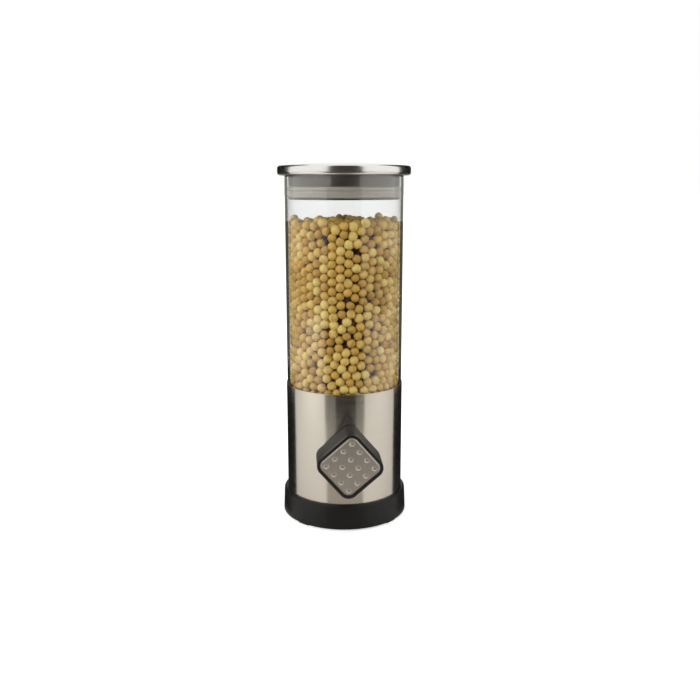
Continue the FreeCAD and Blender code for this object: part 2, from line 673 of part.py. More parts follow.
# Front plate: closes the barrel and carries the front bush in a boss through shell and sleeve
front_adds = [
    rod("plate_disc", BARREL_R, "sizes.plate_thickness", ("0", f"-{CHAMBER_HALF}", AXLE_Z), FORWARD),
    rod("plate_boss", BOSS_R, f"{BOSS_END} - {CHAMBER_HALF}", ("0", f"-{CHAMBER_HALF}", AXLE_Z), FORWARD)]
front_cuts = [
    rod("bush_seat", f"{BUSH_R} + sizes.slip_gap / 2", "sizes.bush_length + 1",
        ("0", f"sizes.bush_length - {BOSS_END}", AXLE_Z), FORWARD),
    rod("shaft_way", "sizes.shaft_dia / 2 + sizes.axial_gap", f"{BOSS_END}",
        ("0", f"1 - {CHAMBER_HALF}", AXLE_Z), FORWARD)]
for degrees in QUARTERS:
    lug_at = on_axle_circle(EAR_CIRCLE_R, degrees, CHAMBER_HALF)
    front_adds.append(rod(f"lug_{degrees}", "sizes.ear_dia / 2", "sizes.plate_thickness", lug_at, FORWARD))
    lug_hole_at = on_axle_circle(EAR_CIRCLE_R, degrees, f"({CHAMBER_HALF} - 1)")
    front_cuts.append(rod(f"lug_hole_{degrees}", "sizes.screw_dia / 2 + sizes.slip_gap",
                          "sizes.plate_thickness + 2", lug_hole_at, FORWARD))
front_plate = carved("front_plate", joined("front_blank", front_adds), front_cuts)
nodes.append(front_plate)

# Plate screws: hold the front plate on the barrel
plate_screw_adds = []
plate_screw_cuts = []
for degrees in QUARTERS:
    head_at = on_axle_circle(EAR_CIRCLE_R, degrees, PLATE_FACE)
    plate_screw_adds.append(rod(f"plate_head_{degrees}", "sizes.screw_head_dia / 2",
                                "sizes.screw_head_height", head_at, FORWARD))
    shank_at = on_axle_circle(EAR_CIRCLE_R, degrees, f"({PLATE_FACE} - sizes.plate_screw_length)")
    plate_screw_adds.append(rod(f"plate_shank_{degrees}", "sizes.screw_dia / 2",
                                "sizes.plate_screw_length", shank_at, FORWARD))
    socket_at = on_axle_circle(
        EAR_CIRCLE_R, degrees, f"({PLATE_FACE} + sizes.screw_head_height - sizes.screw_socket_depth)")
    plate_screw_cuts.append(prism(f"plate_socket_{degrees}", "sizes.screw_socket",
                                   "sizes.screw_socket_depth", socket_at, FORWARD))
plate_screws = carved("plate_screws", joined("plate_screw_blanks", plate_screw_adds), plate_screw_cuts)
nodes.append(plate_screws)

# Front bush: flanged bearing at the end of the boss
front_bush = part_body("front_bush", forward=True)
SHAFT_BORE_R = "(sizes.shaft_dia / 2 + sizes.running_gap)"
revolve(front_bush, "front_bush_turn", [
    (SHAFT_BORE_R, f"{BOSS_END} - sizes.bush_length"),
    (BUSH_R, f"{BOSS_END} - sizes.bush_length"),
    (BUSH_R, BOSS_END),
    (f"{BUSH_R} + sizes.bush_collar", BOSS_END),
    (f"{BUSH_R} + sizes.bush_collar", BUSH_FACE),
    (SHAFT_BORE_R, BUSH_FACE)])
nodes.append(front_bush)

# Rear bush: flanged bearing in the barrel's rear wall
rear_bush = part_body("rear_bush", forward=True)
TAIL_BORE_R = "(sizes.tail_dia / 2 + sizes.running_gap)"
revolve(rear_bush, "rear_bush_turn", [
    (TAIL_BORE_R, f"-{REAR_FACE} - sizes.bush_flange"),
    (f"{REAR_BUSH_R} + sizes.bush_collar", f"-{REAR_FACE} - sizes.bush_flange"),
    (f"{REAR_BUSH_R} + sizes.bush_collar", f"-{REAR_FACE}"),
    (REAR_BUSH_R, f"-{REAR_FACE}"),
    (REAR_BUSH_R, f"-{CHAMBER_HALF}"),
    (TAIL_BORE_R, f"-{CHAMBER_HALF}")])
nodes.append(rear_bush)

# Hopper funnel: collar inside the tube's foot, cone down to a spigot in the housing's neck
hopper_funnel = part_body("hopper_funnel")
revolve(hopper_funnel, "funnel_turn", [
    (COLLAR_R, SEAT_Z),
    (COLLAR_R, FUNNEL_TOP_Z),
    (FUNNEL_MOUTH_R, FUNNEL_TOP_Z),
    (THROAT_R, CONE_Z),
    (THROAT_R, THROAT_Z),
    (SPIGOT_R, THROAT_Z),
    (SPIGOT_R, NECK_TOP_Z),
    (NECK_R, NECK_TOP_Z),
    (f"{COLLAR_R} - sizes.funnel_wall", f"{FUNNEL_TOP_Z} - 1.6 * sizes.funnel_wall"),
    (f"{COLLAR_R} - sizes.funnel_wall", SEAT_Z)])
nodes.append(hopper_funnel)

# Tube gasket: soft ring between the shell and the tube
tube_gasket = part_body("tube_gasket")
revolve(tube_gasket, "gasket_turn", [
    (SHELL_IN_R, SHELL_TOP_Z),
    (f"{TUBE_R} - sizes.slip_gap", SHELL_TOP_Z),
    (f"{TUBE_R} - sizes.slip_gap", TUBE_Z),
    (SHELL_IN_R, TUBE_Z)])
nodes.append(tube_gasket)

# Clear tube: stands on the gasket inside the top of the sleeve
clear_tube = part_body("clear_tube")
tube_turn = revolve(clear_tube, "tube_turn", [
    (TUBE_IN_R, TUBE_Z),
    (TUBE_R, TUBE_Z),
    (TUBE_R, TUBE_TOP_Z),
    (TUBE_IN_R, TUBE_TOP_Z)])
round_rings(clear_tube, tube_turn, "tube_edges", "sizes.tube_edge_round",
            [(TUBE_R, TUBE_TOP_Z), (TUBE_IN_R, TUBE_TOP_Z)])
nodes.append(clear_tube)

# Bean fill: the heap of dry beans as one body, a foot in the funnel and a column in the tube, with coarse
# lumps in staggered rows against the tube and in rings on the top
fill_foot = part_body("fill_foot")
revolve(fill_foot, "fill_turn", [
    ("0", f"{THROAT_Z} + sizes.fill_gap"),
    (f"{THROAT_R} - sizes.fill_gap", f"{THROAT_Z} + sizes.fill_gap"),
    (f"{THROAT_R} - sizes.fill_gap", f"{CONE_Z} + sizes.fill_gap"),
    (f"{FUNNEL_MOUTH_R} - sizes.fill_gap", FILL_FOOT_Z),
    ("0", FILL_FOOT_Z)])
row_copies = int(2 * math.pi * value(FILL_CORE_R) / value("sizes.lump_pitch"))
row_count = int((value(FILL_CORE_Z) - value(FILL_FOOT_Z)) / value("sizes.lump_pitch"))
half_step = 180 / row_copies
fill_column = prism("fill_column", f"2 * {FILL_CORE_R}", f"{FILL_CORE_Z} - {FILL_FOOT_Z}",
                    ("0", "0", FILL_FOOT_Z), Rotation(Vector(0, 0, 1), half_step / 2), 2 * row_copies)
side_length = f"sqrt({FILL_R} ^ 2 - (sizes.lump_tip_width / 2) ^ 2) - {FILL_CORE_R} + sizes.lump_root"
lumps = []
for row in range(row_count):
    height = f"{FILL_CORE_Z} - {row + 0.5} * sizes.lump_pitch"
    for copy in range(row_copies):
        degrees = (2 * copy + row % 2) * half_step
        place = on_circle(f"({FILL_CORE_R} - sizes.lump_root)", f"{degrees} deg", height)
        outward = Rotation(Vector(0, 0, 1), degrees - 90)
        lumps.append(lump(f"side_lump_{row}_{copy}", side_length, place, outward))
for ring in range(int(value(FILL_CORE_R) / value("sizes.lump_pitch"))):
    ring_r = f"({FILL_CORE_R} - {ring + 0.5} * sizes.lump_pitch)"
    rise = f"sizes.lump_relief + sizes.lump_root + sizes.fill_heap * (1 - ({ring_r} / {FILL_CORE_R}) ^ 2)"
    ring_copies = int(2 * math.pi * value(ring_r) / value("sizes.lump_pitch"))
    for copy in range(ring_copies):
        degrees = copy * 360 / ring_copies
        place = on_circle(ring_r, f"{degrees} deg", f"{FILL_CORE_Z} - sizes.lump_root")
        upward = Rotation(Vector(0, 0, 1), degrees) * FORWARD
        lumps.append(lump(f"top_lump_{ring}_{copy}", rise, place, upward))
bean_fill = joined("bean_fill", [fill_foot, fill_column, *lumps])
nodes.append(bean_fill)

# Drive shaft: driving flats for wheel and knob, a thinner tail with a clip groove, a threaded front end
drive_shaft = part_body("drive_shaft", forward=True, turned=True)
SCREW_BORE_R = "(sizes.knob_screw_dia / 2 + sizes.running_gap)"
SCREW_BORE_END = f"({SCREW_SEAT} - sizes.knob_screw_length - sizes.axial_gap)"
GROOVE_R = "(sizes.tail_dia / 2 - sizes.clip_groove)"
revolve(drive_shaft, "shaft_turn", [
    ("0", SHAFT_TAIL),
    ("sizes.tail_dia / 2", SHAFT_TAIL),
    ("sizes.tail_dia / 2", CLIP_BACK),
    (GROOVE_R, CLIP_BACK),
    (GROOVE_R, f"{CLIP_BACK} + sizes.clip_thickness + sizes.slip_gap"),
    ("sizes.tail_dia / 2", f"{CLIP_BACK} + sizes.clip_thickness + sizes.slip_gap"),
    ("sizes.tail_dia / 2", "-sizes.wheel_width / 2"),
    ("sizes.shaft_dia / 2", "-sizes.wheel_width / 2"),
    ("sizes.shaft_dia / 2", SHAFT_END),
    (SCREW_BORE_R, SHAFT_END),
    (SCREW_BORE_R, SCREW_BORE_END),
    ("0", SCREW_BORE_END)])
for name, start, length in (
        ("wheel", "-sizes.wheel_width / 2", "sizes.wheel_width"),
        ("knob", KNOB_BACK, f"{SHAFT_END} - {KNOB_BACK} + 1")):
    for side, low, high in (("upper", "sizes.shaft_flats / 2", "sizes.shaft_dia"),
                            ("lower", "-sizes.shaft_dia", "-sizes.shaft_flats / 2")):
        flat_sketch = blank_sketch(drive_shaft, f"{name}_{side}_flat_outline", height=start)
        draw_outline(flat_sketch, [
            ("-sizes.shaft_dia", low),
            ("sizes.shaft_dia", low),
            ("sizes.shaft_dia", high),
            ("-sizes.shaft_dia", high)])
        pocket(drive_shaft, flat_sketch, f"{name}_{side}_flat", length)
nodes.append(drive_shaft)

# Wheel hub: fits the shaft's flats and holds six vanes in slots
wheel_hub = part_body("wheel_hub", forward=True, turned=True)
hub_sketch = blank_sketch(wheel_hub, "hub_circle")
draw_circle(hub_sketch, "sizes.hub_dia / 2")
pad(wheel_hub, hub_sketch, "hub_pad", "sizes.wheel_width", centred=True)
BORE_FLATS = "(sizes.shaft_flats + 2 * sizes.slip_gap)"
hub_bore_sketch = blank_sketch(wheel_hub, "hub_bore_section", height="-sizes.wheel_width")
draw_double_flat(hub_bore_sketch, "sizes.shaft_dia / 2 + sizes.slip_gap", BORE_FLATS)
pocket(wheel_hub, hub_bore_sketch, "hub_bore")
VANE_PHASE = "60 - sizes.knob_turn"
VANE_ROOT_R = "(sizes.hub_dia / 2 - sizes.vane_root)"
slot_sketch = blank_sketch(wheel_hub, "slot_outline", height="-sizes.wheel_width", turn=VANE_PHASE)
SLOT_HALF = "(sizes.vane_thickness / 2 + sizes.slip_gap / 2)"
draw_outline(slot_sketch, [
    (VANE_ROOT_R, f"-{SLOT_HALF}"),
    ("sizes.hub_dia", f"-{SLOT_HALF}"),
    ("sizes.hub_dia", SLOT_HALF),
    (VANE_ROOT_R, SLOT_HALF)])
slot = pocket(wheel_hub, slot_sketch, "slot")
ring_pattern(wheel_hub, slot, "slots", 6)
nodes.append(wheel_hub)

# Wheel vanes: six soft paddles, thinner towards the tip
wheel_vanes = part_body("wheel_vanes", forward=True, turned=True)
vane_sketch = blank_sketch(wheel_vanes, "vane_outline", turn=VANE_PHASE)
VANE_START_R = f"({VANE_ROOT_R} + sizes.slip_gap)"
draw_outline(vane_sketch, [
    (VANE_START_R, "-sizes.vane_thickness / 2"),
    ("sizes.hub_dia / 2", "-sizes.vane_thickness / 2"),
    ("sizes.wheel_dia / 2", "-sizes.vane_tip / 2"),
    ("sizes.wheel_dia / 2", "sizes.vane_tip / 2"),
    ("sizes.hub_dia / 2", "sizes.vane_thickness / 2"),
    (VANE_START_R, "sizes.vane_thickness / 2")])
vane = pad(wheel_vanes, vane_sketch, "vane", "sizes.wheel_width", centred=True)
ring_pattern(wheel_vanes, vane, "vanes", 6)
nodes.append(wheel_vanes)

# Shaft clip: open retaining ring in the tail's groove
shaft_clip = part_body("shaft_clip", forward=True, turned=True)
clip_sketch = blank_sketch(shaft_clip, "clip_circle", height=CLIP_BACK)
draw_circle(clip_sketch, "sizes.clip_dia / 2")
pad(shaft_clip, clip_sketch, "clip_pad", "sizes.clip_thickness")
clip_bore_sketch = blank_sketch(shaft_clip, "clip_bore_circle", height=f"{CLIP_BACK} - 1")
draw_circle(clip_bore_sketch, f"{GROOVE_R} + sizes.running_gap")
pocket(shaft_clip, clip_bore_sketch, "clip_bore")
clip_gap_sketch = blank_sketch(shaft_clip, "clip_gap_outline", height=f"{CLIP_BACK} - 1")
draw_outline(clip_gap_sketch, [
    (f"-{GROOVE_R} * 0.8", "-sizes.clip_dia"),
    (f"{GROOVE_R} * 0.8", "-sizes.clip_dia"),
    (f"{GROOVE_R} * 0.8", "0"),
    (f"-{GROOVE_R} * 0.8", "0")])
pocket(shaft_clip, clip_gap_sketch, "clip_gap")
nodes.append(shaft_clip)

# Knob washer: slides on the bush flange behind the knob
knob_washer = part_body("knob_washer", forward=True, turned=True)
revolve(knob_washer, "washer_turn", [
    ("sizes.shaft_dia / 2 + sizes.slip_gap", f"{KNOB_BACK} - sizes.washer_thickness"),
    ("sizes.washer_dia / 2", f"{KNOB_BACK} - sizes.washer_thickness"),
    ("sizes.washer_dia / 2", KNOB_BACK),
    ("sizes.shaft_dia / 2 + sizes.slip_gap", KNOB_BACK)])
nodes.append(knob_washer)

# Knob body: square block, hollow from behind, with a boss for the shaft and a seat for rim and face
knob_body = part_body("knob_body", forward=True, turned=True)
knob_sketch = blank_sketch(knob_body, "knob_section", height=KNOB_BACK)
draw_rounded_square(knob_sketch, "sizes.knob_side", "sizes.knob_corner")
knob_pad = pad(knob_body, knob_sketch, "knob_pad", f"{KNOB_FACE} - {KNOB_BACK}")
round_face_edges(knob_body, knob_pad, "knob_back_edge", "sizes.knob_back_round", KNOB_BACK)
seat_sketch = blank_sketch(knob_body, "seat_section", height=KNOB_FACE)
draw_rounded_square(seat_sketch, FACE_SIDE, FACE_CORNER)
pad(knob_body, seat_sketch, "seat_pad", f"{FACE_SEAT} - {KNOB_FACE}")
hollow_sketch = blank_sketch(knob_body, "hollow_section", height=KNOB_BACK)
draw_rounded_square(hollow_sketch, "(sizes.knob_side - 2 * sizes.knob_wall)",
                    "(sizes.knob_corner - sizes.knob_wall)")
draw_circle(hollow_sketch, "sizes.shaft_dia / 2 + sizes.slip_gap + sizes.knob_boss_wall")
pocket(knob_body, hollow_sketch, "hollow", f"{KNOB_FACE} - {KNOB_BACK} - sizes.knob_front_wall")
drive_sketch = blank_sketch(knob_body, "drive_section", height=KNOB_BACK)
draw_double_flat(drive_sketch, "sizes.shaft_dia / 2 + sizes.slip_gap", BORE_FLATS)
pocket(knob_body, drive_sketch, "drive_bore", f"{SHAFT_END} - {KNOB_BACK} + sizes.slip_gap")
screw_way_sketch = blank_sketch(knob_body, "screw_way_circle", height=KNOB_BACK)
draw_circle(screw_way_sketch, "sizes.knob_screw_dia / 2 + sizes.slip_gap")
pocket(knob_body, screw_way_sketch, "screw_way")
counterbore_sketch = blank_sketch(knob_body, "counterbore_circle", height=SCREW_SEAT)
draw_circle(counterbore_sketch, "sizes.knob_screw_head_dia / 2 + sizes.axial_gap")
pocket(knob_body, counterbore_sketch, "counterbore")
nodes.append(knob_body)

# Knob screw: clamps the knob on the shaft, hidden under the face
knob_screw = part_body("knob_screw", forward=True, turned=True)
HEAD_TOP = f"({SCREW_SEAT} + sizes.knob_screw_head_height)"
revolve(knob_screw, "knob_screw_turn", [
    ("0", f"{SCREW_SEAT} - sizes.knob_screw_length"),
    ("sizes.knob_screw_dia / 2", f"{SCREW_SEAT} - sizes.knob_screw_length"),
    ("sizes.knob_screw_dia / 2", SCREW_SEAT),
    ("sizes.knob_screw_head_dia / 2", SCREW_SEAT),
    ("sizes.knob_screw_head_dia / 2", HEAD_TOP),
    ("0", HEAD_TOP)])
slot_way_sketch = blank_sketch(knob_screw, "driver_slot_outline",
                               height=f"{HEAD_TOP} - sizes.screw_socket_depth")
draw_outline(slot_way_sketch, [
    ("-sizes.knob_screw_head_dia", "-sizes.screw_socket / 4"),
    ("sizes.knob_screw_head_dia", "-sizes.screw_socket / 4"),
    ("sizes.knob_screw_head_dia", "sizes.screw_socket / 4"),
    ("-sizes.knob_screw_head_dia", "sizes.screw_socket / 4")])
pocket(knob_screw, slot_way_sketch, "driver_slot")
nodes.append(knob_screw)

# Knob rim: frame round the face
knob_rim = part_body("knob_rim", forward=True, turned=True)
rim_sketch = blank_sketch(knob_rim, "rim_section", height=KNOB_FACE)
draw_rounded_square(rim_sketch, "sizes.knob_side", "sizes.knob_corner")
rim_pad = pad(knob_rim, rim_sketch, "rim_pad", "sizes.rim_depth")
round_face_edges(knob_rim, rim_pad, "rim_front_edge", "sizes.rim_edge_round", KNOB_FRONT)
window_sketch = blank_sketch(knob_rim, "window_section", height=KNOB_FACE)
draw_rounded_square(window_sketch, "(sizes.knob_side - 2 * sizes.rim_width)",
                    "(sizes.knob_corner - sizes.rim_width)")
pocket(knob_rim, window_sketch, "window")
nodes.append(knob_rim)

# Knob face: metal plate with a bevelled edge and sixteen pressed dimples
knob_face = part_body("knob_face", forward=True, turned=True)
face_sketch = blank_sketch(knob_face, "face_section", height=FACE_SEAT)
draw_rounded_square(face_sketch, FACE_SIDE, FACE_CORNER)
face_pad = pad(knob_face, face_sketch, "face_pad", "sizes.face_thickness")
FACE_FRONT = f"({FACE_SEAT} + sizes.face_thickness)"
round_face_edges(knob_face, face_pad, "face_edge", "sizes.face_bevel", FACE_FRONT, kind="Chamfer")
DIMPLE_BALL_R = "((sizes.dimple_dia ^ 2 / 4 + sizes.dimple_depth ^ 2) / (2 * sizes.dimple_depth))"
dimple = knob_face.newObject("PartDesign::SubtractiveSphere", "dimple")
dimple.AttachmentSupport = (plane_of(knob_face, "XY_Plane"), [""])
dimple.MapMode = "FlatFace"
bind(dimple, "Radius", DIMPLE_BALL_R)
bind(dimple, ".AttachmentOffset.Base.x", "-1.5 * sizes.dimple_pitch")
bind(dimple, ".AttachmentOffset.Base.y", "-1.5 * sizes.dimple_pitch")
bind(dimple, ".AttachmentOffset.Base.z", f"{FACE_FRONT} + {DIMPLE_BALL_R} - sizes.dimple_depth")
doc.recompute()
dimple_grid = knob_face.newObject("PartDesign::MultiTransform", "dimple_grid")
dimple_grid.Originals = [dimple]
directions = []
for axis in ("X_Axis", "Y_Axis"):
    direction = doc.addObject("PartDesign::LinearPattern", "dimple_row_" + axis[0].lower())
    direction.Direction = (plane_of(knob_face, axis), [""])
    direction.Occurrences = 4
    bind(direction, "Length", "3 * sizes.dimple_pitch")
    directions.append(direction)
dimple_grid.Transformations = directions
knob_face.Tip = dimple_grid
doc.recompute()
nodes.append(knob_face)

# Lid cover: pressed sheet with a low crown and an edge curled under the plug's flange
lid_cover = part_body("lid_cover")
LID_RIM_Z = f"({TUBE_TOP_Z} + sizes.lid_height)"
CROWN_Z = f"({LID_RIM_Z} + sizes.lid_crown)"
CROWN_R = f"({LID_R} - 2 * sizes.lid_edge_round)"
lid_turn = revolve(lid_cover, "lid_turn", [
    ("0", CROWN_Z),
    ("sizes.lid_flat_dia / 2", CROWN_Z),
    (CROWN_R, LID_RIM_Z),
    (LID_R, LID_RIM_Z),
    (LID_R, TUBE_TOP_Z),
    (f"{LID_R} - sizes.lid_curl", TUBE_TOP_Z),
    (f"{LID_R} - sizes.lid_curl", f"{TUBE_TOP_Z} + sizes.lid_sheet"),
    (f"{LID_R} - sizes.lid_sheet", f"{TUBE_TOP_Z} + sizes.lid_sheet"),
    (f"{LID_R} - sizes.lid_sheet", f"{LID_RIM_Z} - sizes.lid_sheet"),
    (CROWN_R, f"{LID_RIM_Z} - sizes.lid_sheet"),
    ("sizes.lid_flat_dia / 2", f"{CROWN_Z} - sizes.lid_sheet"),
    ("0", f"{CROWN_Z} - sizes.lid_sheet")], crowns=(1, 9))
lid_outside = round_rings(lid_cover, lid_turn, "lid_outer_edges", "sizes.lid_edge_round",
                          [(LID_R, LID_RIM_Z), (LID_R, TUBE_TOP_Z)])
round_rings(lid_cover, lid_outside, "lid_inner_edges", "sizes.lid_edge_round - sizes.lid_sheet",
            [(f"{LID_R} - sizes.lid_sheet", f"{LID_RIM_Z} - sizes.lid_sheet"),
             (f"{LID_R} - sizes.lid_sheet", f"{TUBE_TOP_Z} + sizes.lid_sheet")])
nodes.append(lid_cover)

# Lid plug: moulded cup whose flange fills the cover and rests on the tube's rim
lid_plug = part_body("lid_plug")
SEAL_Z = f"({PLUG_Z} + sizes.plug_lip)"
SEAL_TOP_Z = f"({SEAL_Z} + sizes.seal_height)"
FLANGE_Z = f"({TUBE_TOP_Z} + sizes.lid_sheet + sizes.slip_gap)"
FLANGE_TOP_Z = f"({LID_RIM_Z} - sizes.lid_sheet - sizes.slip_gap)"
CUP_R = f"({SEAL_IN_R} - sizes.plug_wall)"
plug_turn = revolve(lid_plug, "plug_turn", [
    ("0", f"{PLUG_Z} + sizes.plug_dish"),
    (f"{CUP_R} - sizes.plug_wall", f"{PLUG_Z} + sizes.plug_dish"),
    (CUP_R, PLUG_Z),
    (PLUG_NECK_R, PLUG_Z),
    (PLUG_NECK_R, SEAL_Z),
    (SEAL_IN_R, SEAL_Z),
    (SEAL_IN_R, SEAL_TOP_Z),
    (PLUG_NECK_R, SEAL_TOP_Z),
    (PLUG_NECK_R, TUBE_TOP_Z),
    (PLUG_STEP_R, TUBE_TOP_Z),
    (PLUG_STEP_R, FLANGE_Z),
    (PLUG_FLANGE_R, FLANGE_Z),
    (PLUG_FLANGE_R, FLANGE_TOP_Z),
    (CUP_R, FLANGE_TOP_Z),
    (CUP_R, f"{PLUG_Z} + sizes.plug_dish + sizes.plug_floor"),
    ("0", f"{PLUG_Z} + sizes.plug_dish + sizes.plug_floor")])
round_rings(lid_plug, plug_turn, "plug_flange_edges", "sizes.lid_edge_round - sizes.lid_sheet",
            [(PLUG_FLANGE_R, FLANGE_Z), (PLUG_FLANGE_R, FLANGE_TOP_Z)])
nodes.append(lid_plug)

# Lid seal: soft ring in the plug's groove with two ribs towards the tube
lid_seal = part_body("lid_seal")
SEAL_BODY_R = f"({SEAL_R} - sizes.seal_rib_depth)"
SEAL_BORE_R = f"({SEAL_IN_R} + sizes.running_gap)"
SEAL_LOW_Z = f"({SEAL_Z} + sizes.running_gap)"
SEAL_HIGH_Z = f"({SEAL_TOP_Z} - sizes.running_gap)"
revolve(lid_seal, "seal_turn", [
    (SEAL_BORE_R, SEAL_LOW_Z),
    (SEAL_BODY_R, SEAL_LOW_Z),
    (SEAL_R, f"{SEAL_LOW_Z} + sizes.seal_rib_depth"),
    (SEAL_R, f"{SEAL_LOW_Z} + sizes.seal_rib_height"),
    (SEAL_BODY_R, f"{SEAL_LOW_Z} + sizes.seal_rib_height + sizes.seal_rib_depth"),
    (SEAL_BODY_R, f"{SEAL_HIGH_Z} - sizes.seal_rib_height - sizes.seal_rib_depth"),
    (SEAL_R, f"{SEAL_HIGH_Z} - sizes.seal_rib_height"),
    (SEAL_R, f"{SEAL_HIGH_Z} - sizes.seal_rib_depth"),
    (SEAL_BODY_R, SEAL_HIGH_Z),
    (SEAL_BORE_R, SEAL_HIGH_Z)])
nodes.append(lid_seal)

# Every object must be sound before anything is written
doc.recompute()
for item in doc.Objects:
    if "Invalid" in item.State or "Error" in item.State:
        raise RuntimeError(f"{item.Label} did not compute: {item.State}")
for node in nodes:
    if node.Shape.isNull() or not node.Shape.isValid() or not node.Shape.Solids:
        raise RuntimeError(f"{node.Label} has no sound solid")

# Write one file for each node
os.makedirs("parts", exist_ok=True)
for node in nodes:
    node.Shape.exportStep(f"parts/{node.Label}.step")
    print(f"{node.Label}: {len(node.Shape.Solids)} solids, {node.Shape.Volume:.1f} mm3")
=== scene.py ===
import math

import bmesh
import bpy
import numpy as np
from mathutils import Matrix, Vector, kdtree


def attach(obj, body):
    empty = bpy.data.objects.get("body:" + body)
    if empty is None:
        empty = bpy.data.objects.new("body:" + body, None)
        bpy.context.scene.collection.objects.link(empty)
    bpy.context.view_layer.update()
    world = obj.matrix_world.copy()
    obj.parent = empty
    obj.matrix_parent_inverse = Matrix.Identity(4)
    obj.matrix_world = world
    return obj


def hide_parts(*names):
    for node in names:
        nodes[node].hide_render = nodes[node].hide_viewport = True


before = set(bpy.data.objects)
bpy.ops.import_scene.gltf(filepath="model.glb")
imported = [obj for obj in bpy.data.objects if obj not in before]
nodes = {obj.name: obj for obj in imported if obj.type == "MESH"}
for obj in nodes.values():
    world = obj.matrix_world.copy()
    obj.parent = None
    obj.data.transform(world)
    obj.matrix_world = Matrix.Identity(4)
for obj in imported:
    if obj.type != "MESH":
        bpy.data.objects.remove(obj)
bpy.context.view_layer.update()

MM = 0.001

# Base ring
# A flared skirt moulded in black ABS, with a floor inside that carries the shell and is open in the
# middle for the outlet. Its top edge is rounded, and the mould's fine spark texture makes it satin.
PAD_HEIGHT = 0.8
SKIRT_FOOT_R = 52.55
SKIRT_TOP_R = 51.7
SKIRT_BORE_R = 48.8
SKIRT_HOLLOW_R = 45.55
SKIRT_TOP = 21.0
DECK_UNDER = 5.0
DECK_TOP = 8.0
OUTLET_R = 22.2


def linear(code):
    """Linear colour of an sRGB hex code, with full alpha."""
    parts = [int(code[index:index + 2], 16) / 255 for index in (1, 3, 5)]
    return [part / 12.92 if part < 0.04045 else ((part + 0.055) / 1.055) ** 2.4 for part in parts] + [1.0]


def add_node(tree, kind, inputs=None, **settings):
    """One node with its settings made, and each input set to a value or linked to an output."""
    made = tree.nodes.new(kind)
    for name, setting in settings.items():
        setattr(made, name, setting)
    for name, content in (inputs or {}).items():
        if isinstance(content, bpy.types.NodeSocket):
            tree.links.new(content, made.inputs[name])
        else:
            made.inputs[name].default_value = content
    return made


def new_material(name, **constants):
    """Material with one shader whose plain values are set; gives the material, its nodes and the shader."""
    material = bpy.data.materials.new(name)
    material.use_nodes = True
    tree = material.node_tree
    tree.nodes.clear()
    shader = add_node(tree, "ShaderNodeBsdfPrincipled",
                      {key.replace("_", " "): item for key, item in constants.items()})
    add_node(tree, "ShaderNodeOutputMaterial", {"Surface": shader.outputs["BSDF"]})
    return material, tree, shader


def object_noise(tree, stretch, detail=2.0, roughness=0.5):
    """Grey noise in the piece's own space; stretch is how many grains fit in a metre along X, Y and Z."""
    place = add_node(tree, "ShaderNodeTexCoord")
    scaled = add_node(tree, "ShaderNodeMapping", {"Vector": place.outputs["Object"], "Scale": stretch})
    noise = add_node(tree, "ShaderNodeTexNoise", {
        "Vector": scaled.outputs["Vector"], "Scale": 1.0, "Detail": detail, "Roughness": roughness})
    return noise.outputs["Fac"]


def spread(tree, source, low, high):
    """Plain number between low and high, following a texture's grey value."""
    ranged = add_node(tree, "ShaderNodeMapRange", {
        "Value": source, "From Min": 0.3, "From Max": 0.7, "To Min": low, "To Max": high})
    return ranged.outputs["Result"]


def two_tone(tree, source, first, second):
    """Colour that goes from one hex code to another with a texture's grey value."""
    ramp = add_node(tree, "ShaderNodeValToRGB", {"Fac": source})
    ramp.color_ramp.elements[0].position = 0.3
    ramp.color_ramp.elements[0].color = linear(first)
    ramp.color_ramp.elements[1].position = 0.7
    ramp.color_ramp.elements[1].color = linear(second)
    return ramp.outputs["Color"]


def relief(tree, shader, source, depth):
    """Bump on a shader from a texture's grey value, with its depth in metres."""
    bump = add_node(tree, "ShaderNodeBump", {"Height": source, "Distance": depth, "Strength": 1.0})
    tree.links.new(bump.outputs["Normal"], shader.inputs["Normal"])


def soften(mesh, sharp_above=32):
    """Smooth shading, with the edges that turn by more than some degrees kept crisp."""
    work = bmesh.new()
    work.from_mesh(mesh)
    for face in work.faces:
        face.smooth = True
    for edge in work.edges:
        edge.smooth = len(edge.link_faces) == 2 and edge.calc_face_angle() < math.radians(sharp_above)
    work.to_mesh(mesh)
    work.free()


def new_piece(name, mesh, material, body, slot, *replaced):
    """Object at the origin that shows a mesh, rides on a body and stands for CAD nodes."""
    piece = bpy.data.objects.new(name, mesh)
    bpy.context.scene.collection.objects.link(piece)
    mesh.materials.clear()
    mesh.materials.append(material)
    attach(piece, body)
    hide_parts(*replaced)
    return piece


def rounded(corners, steps=6):
    """Outline of radius and height with an arc of the third number's radius at each corner that has one."""
    path = []
    count = len(corners)
    for index, corner in enumerate(corners):
        point = Vector(corner[:2])
        if len(corner) < 3:
            path.append(point)
            continue
        ways = [(Vector(corners[(index + step) % count][:2]) - point).normalized() for step in (-1, 1)]
        half = ways[0].angle(ways[1]) / 2
        middle = point + (ways[0] + ways[1]).normalized() * corner[2] / math.sin(half)
        feet = [point + way * corner[2] / math.tan(half) - middle for way in ways]
        sweep = feet[0].angle_signed(feet[1])
        for step in range(steps + 1):
            turn = -sweep * step / steps
            path.append(middle + Matrix.Rotation(turn, 2) @ feet[0])
    return path


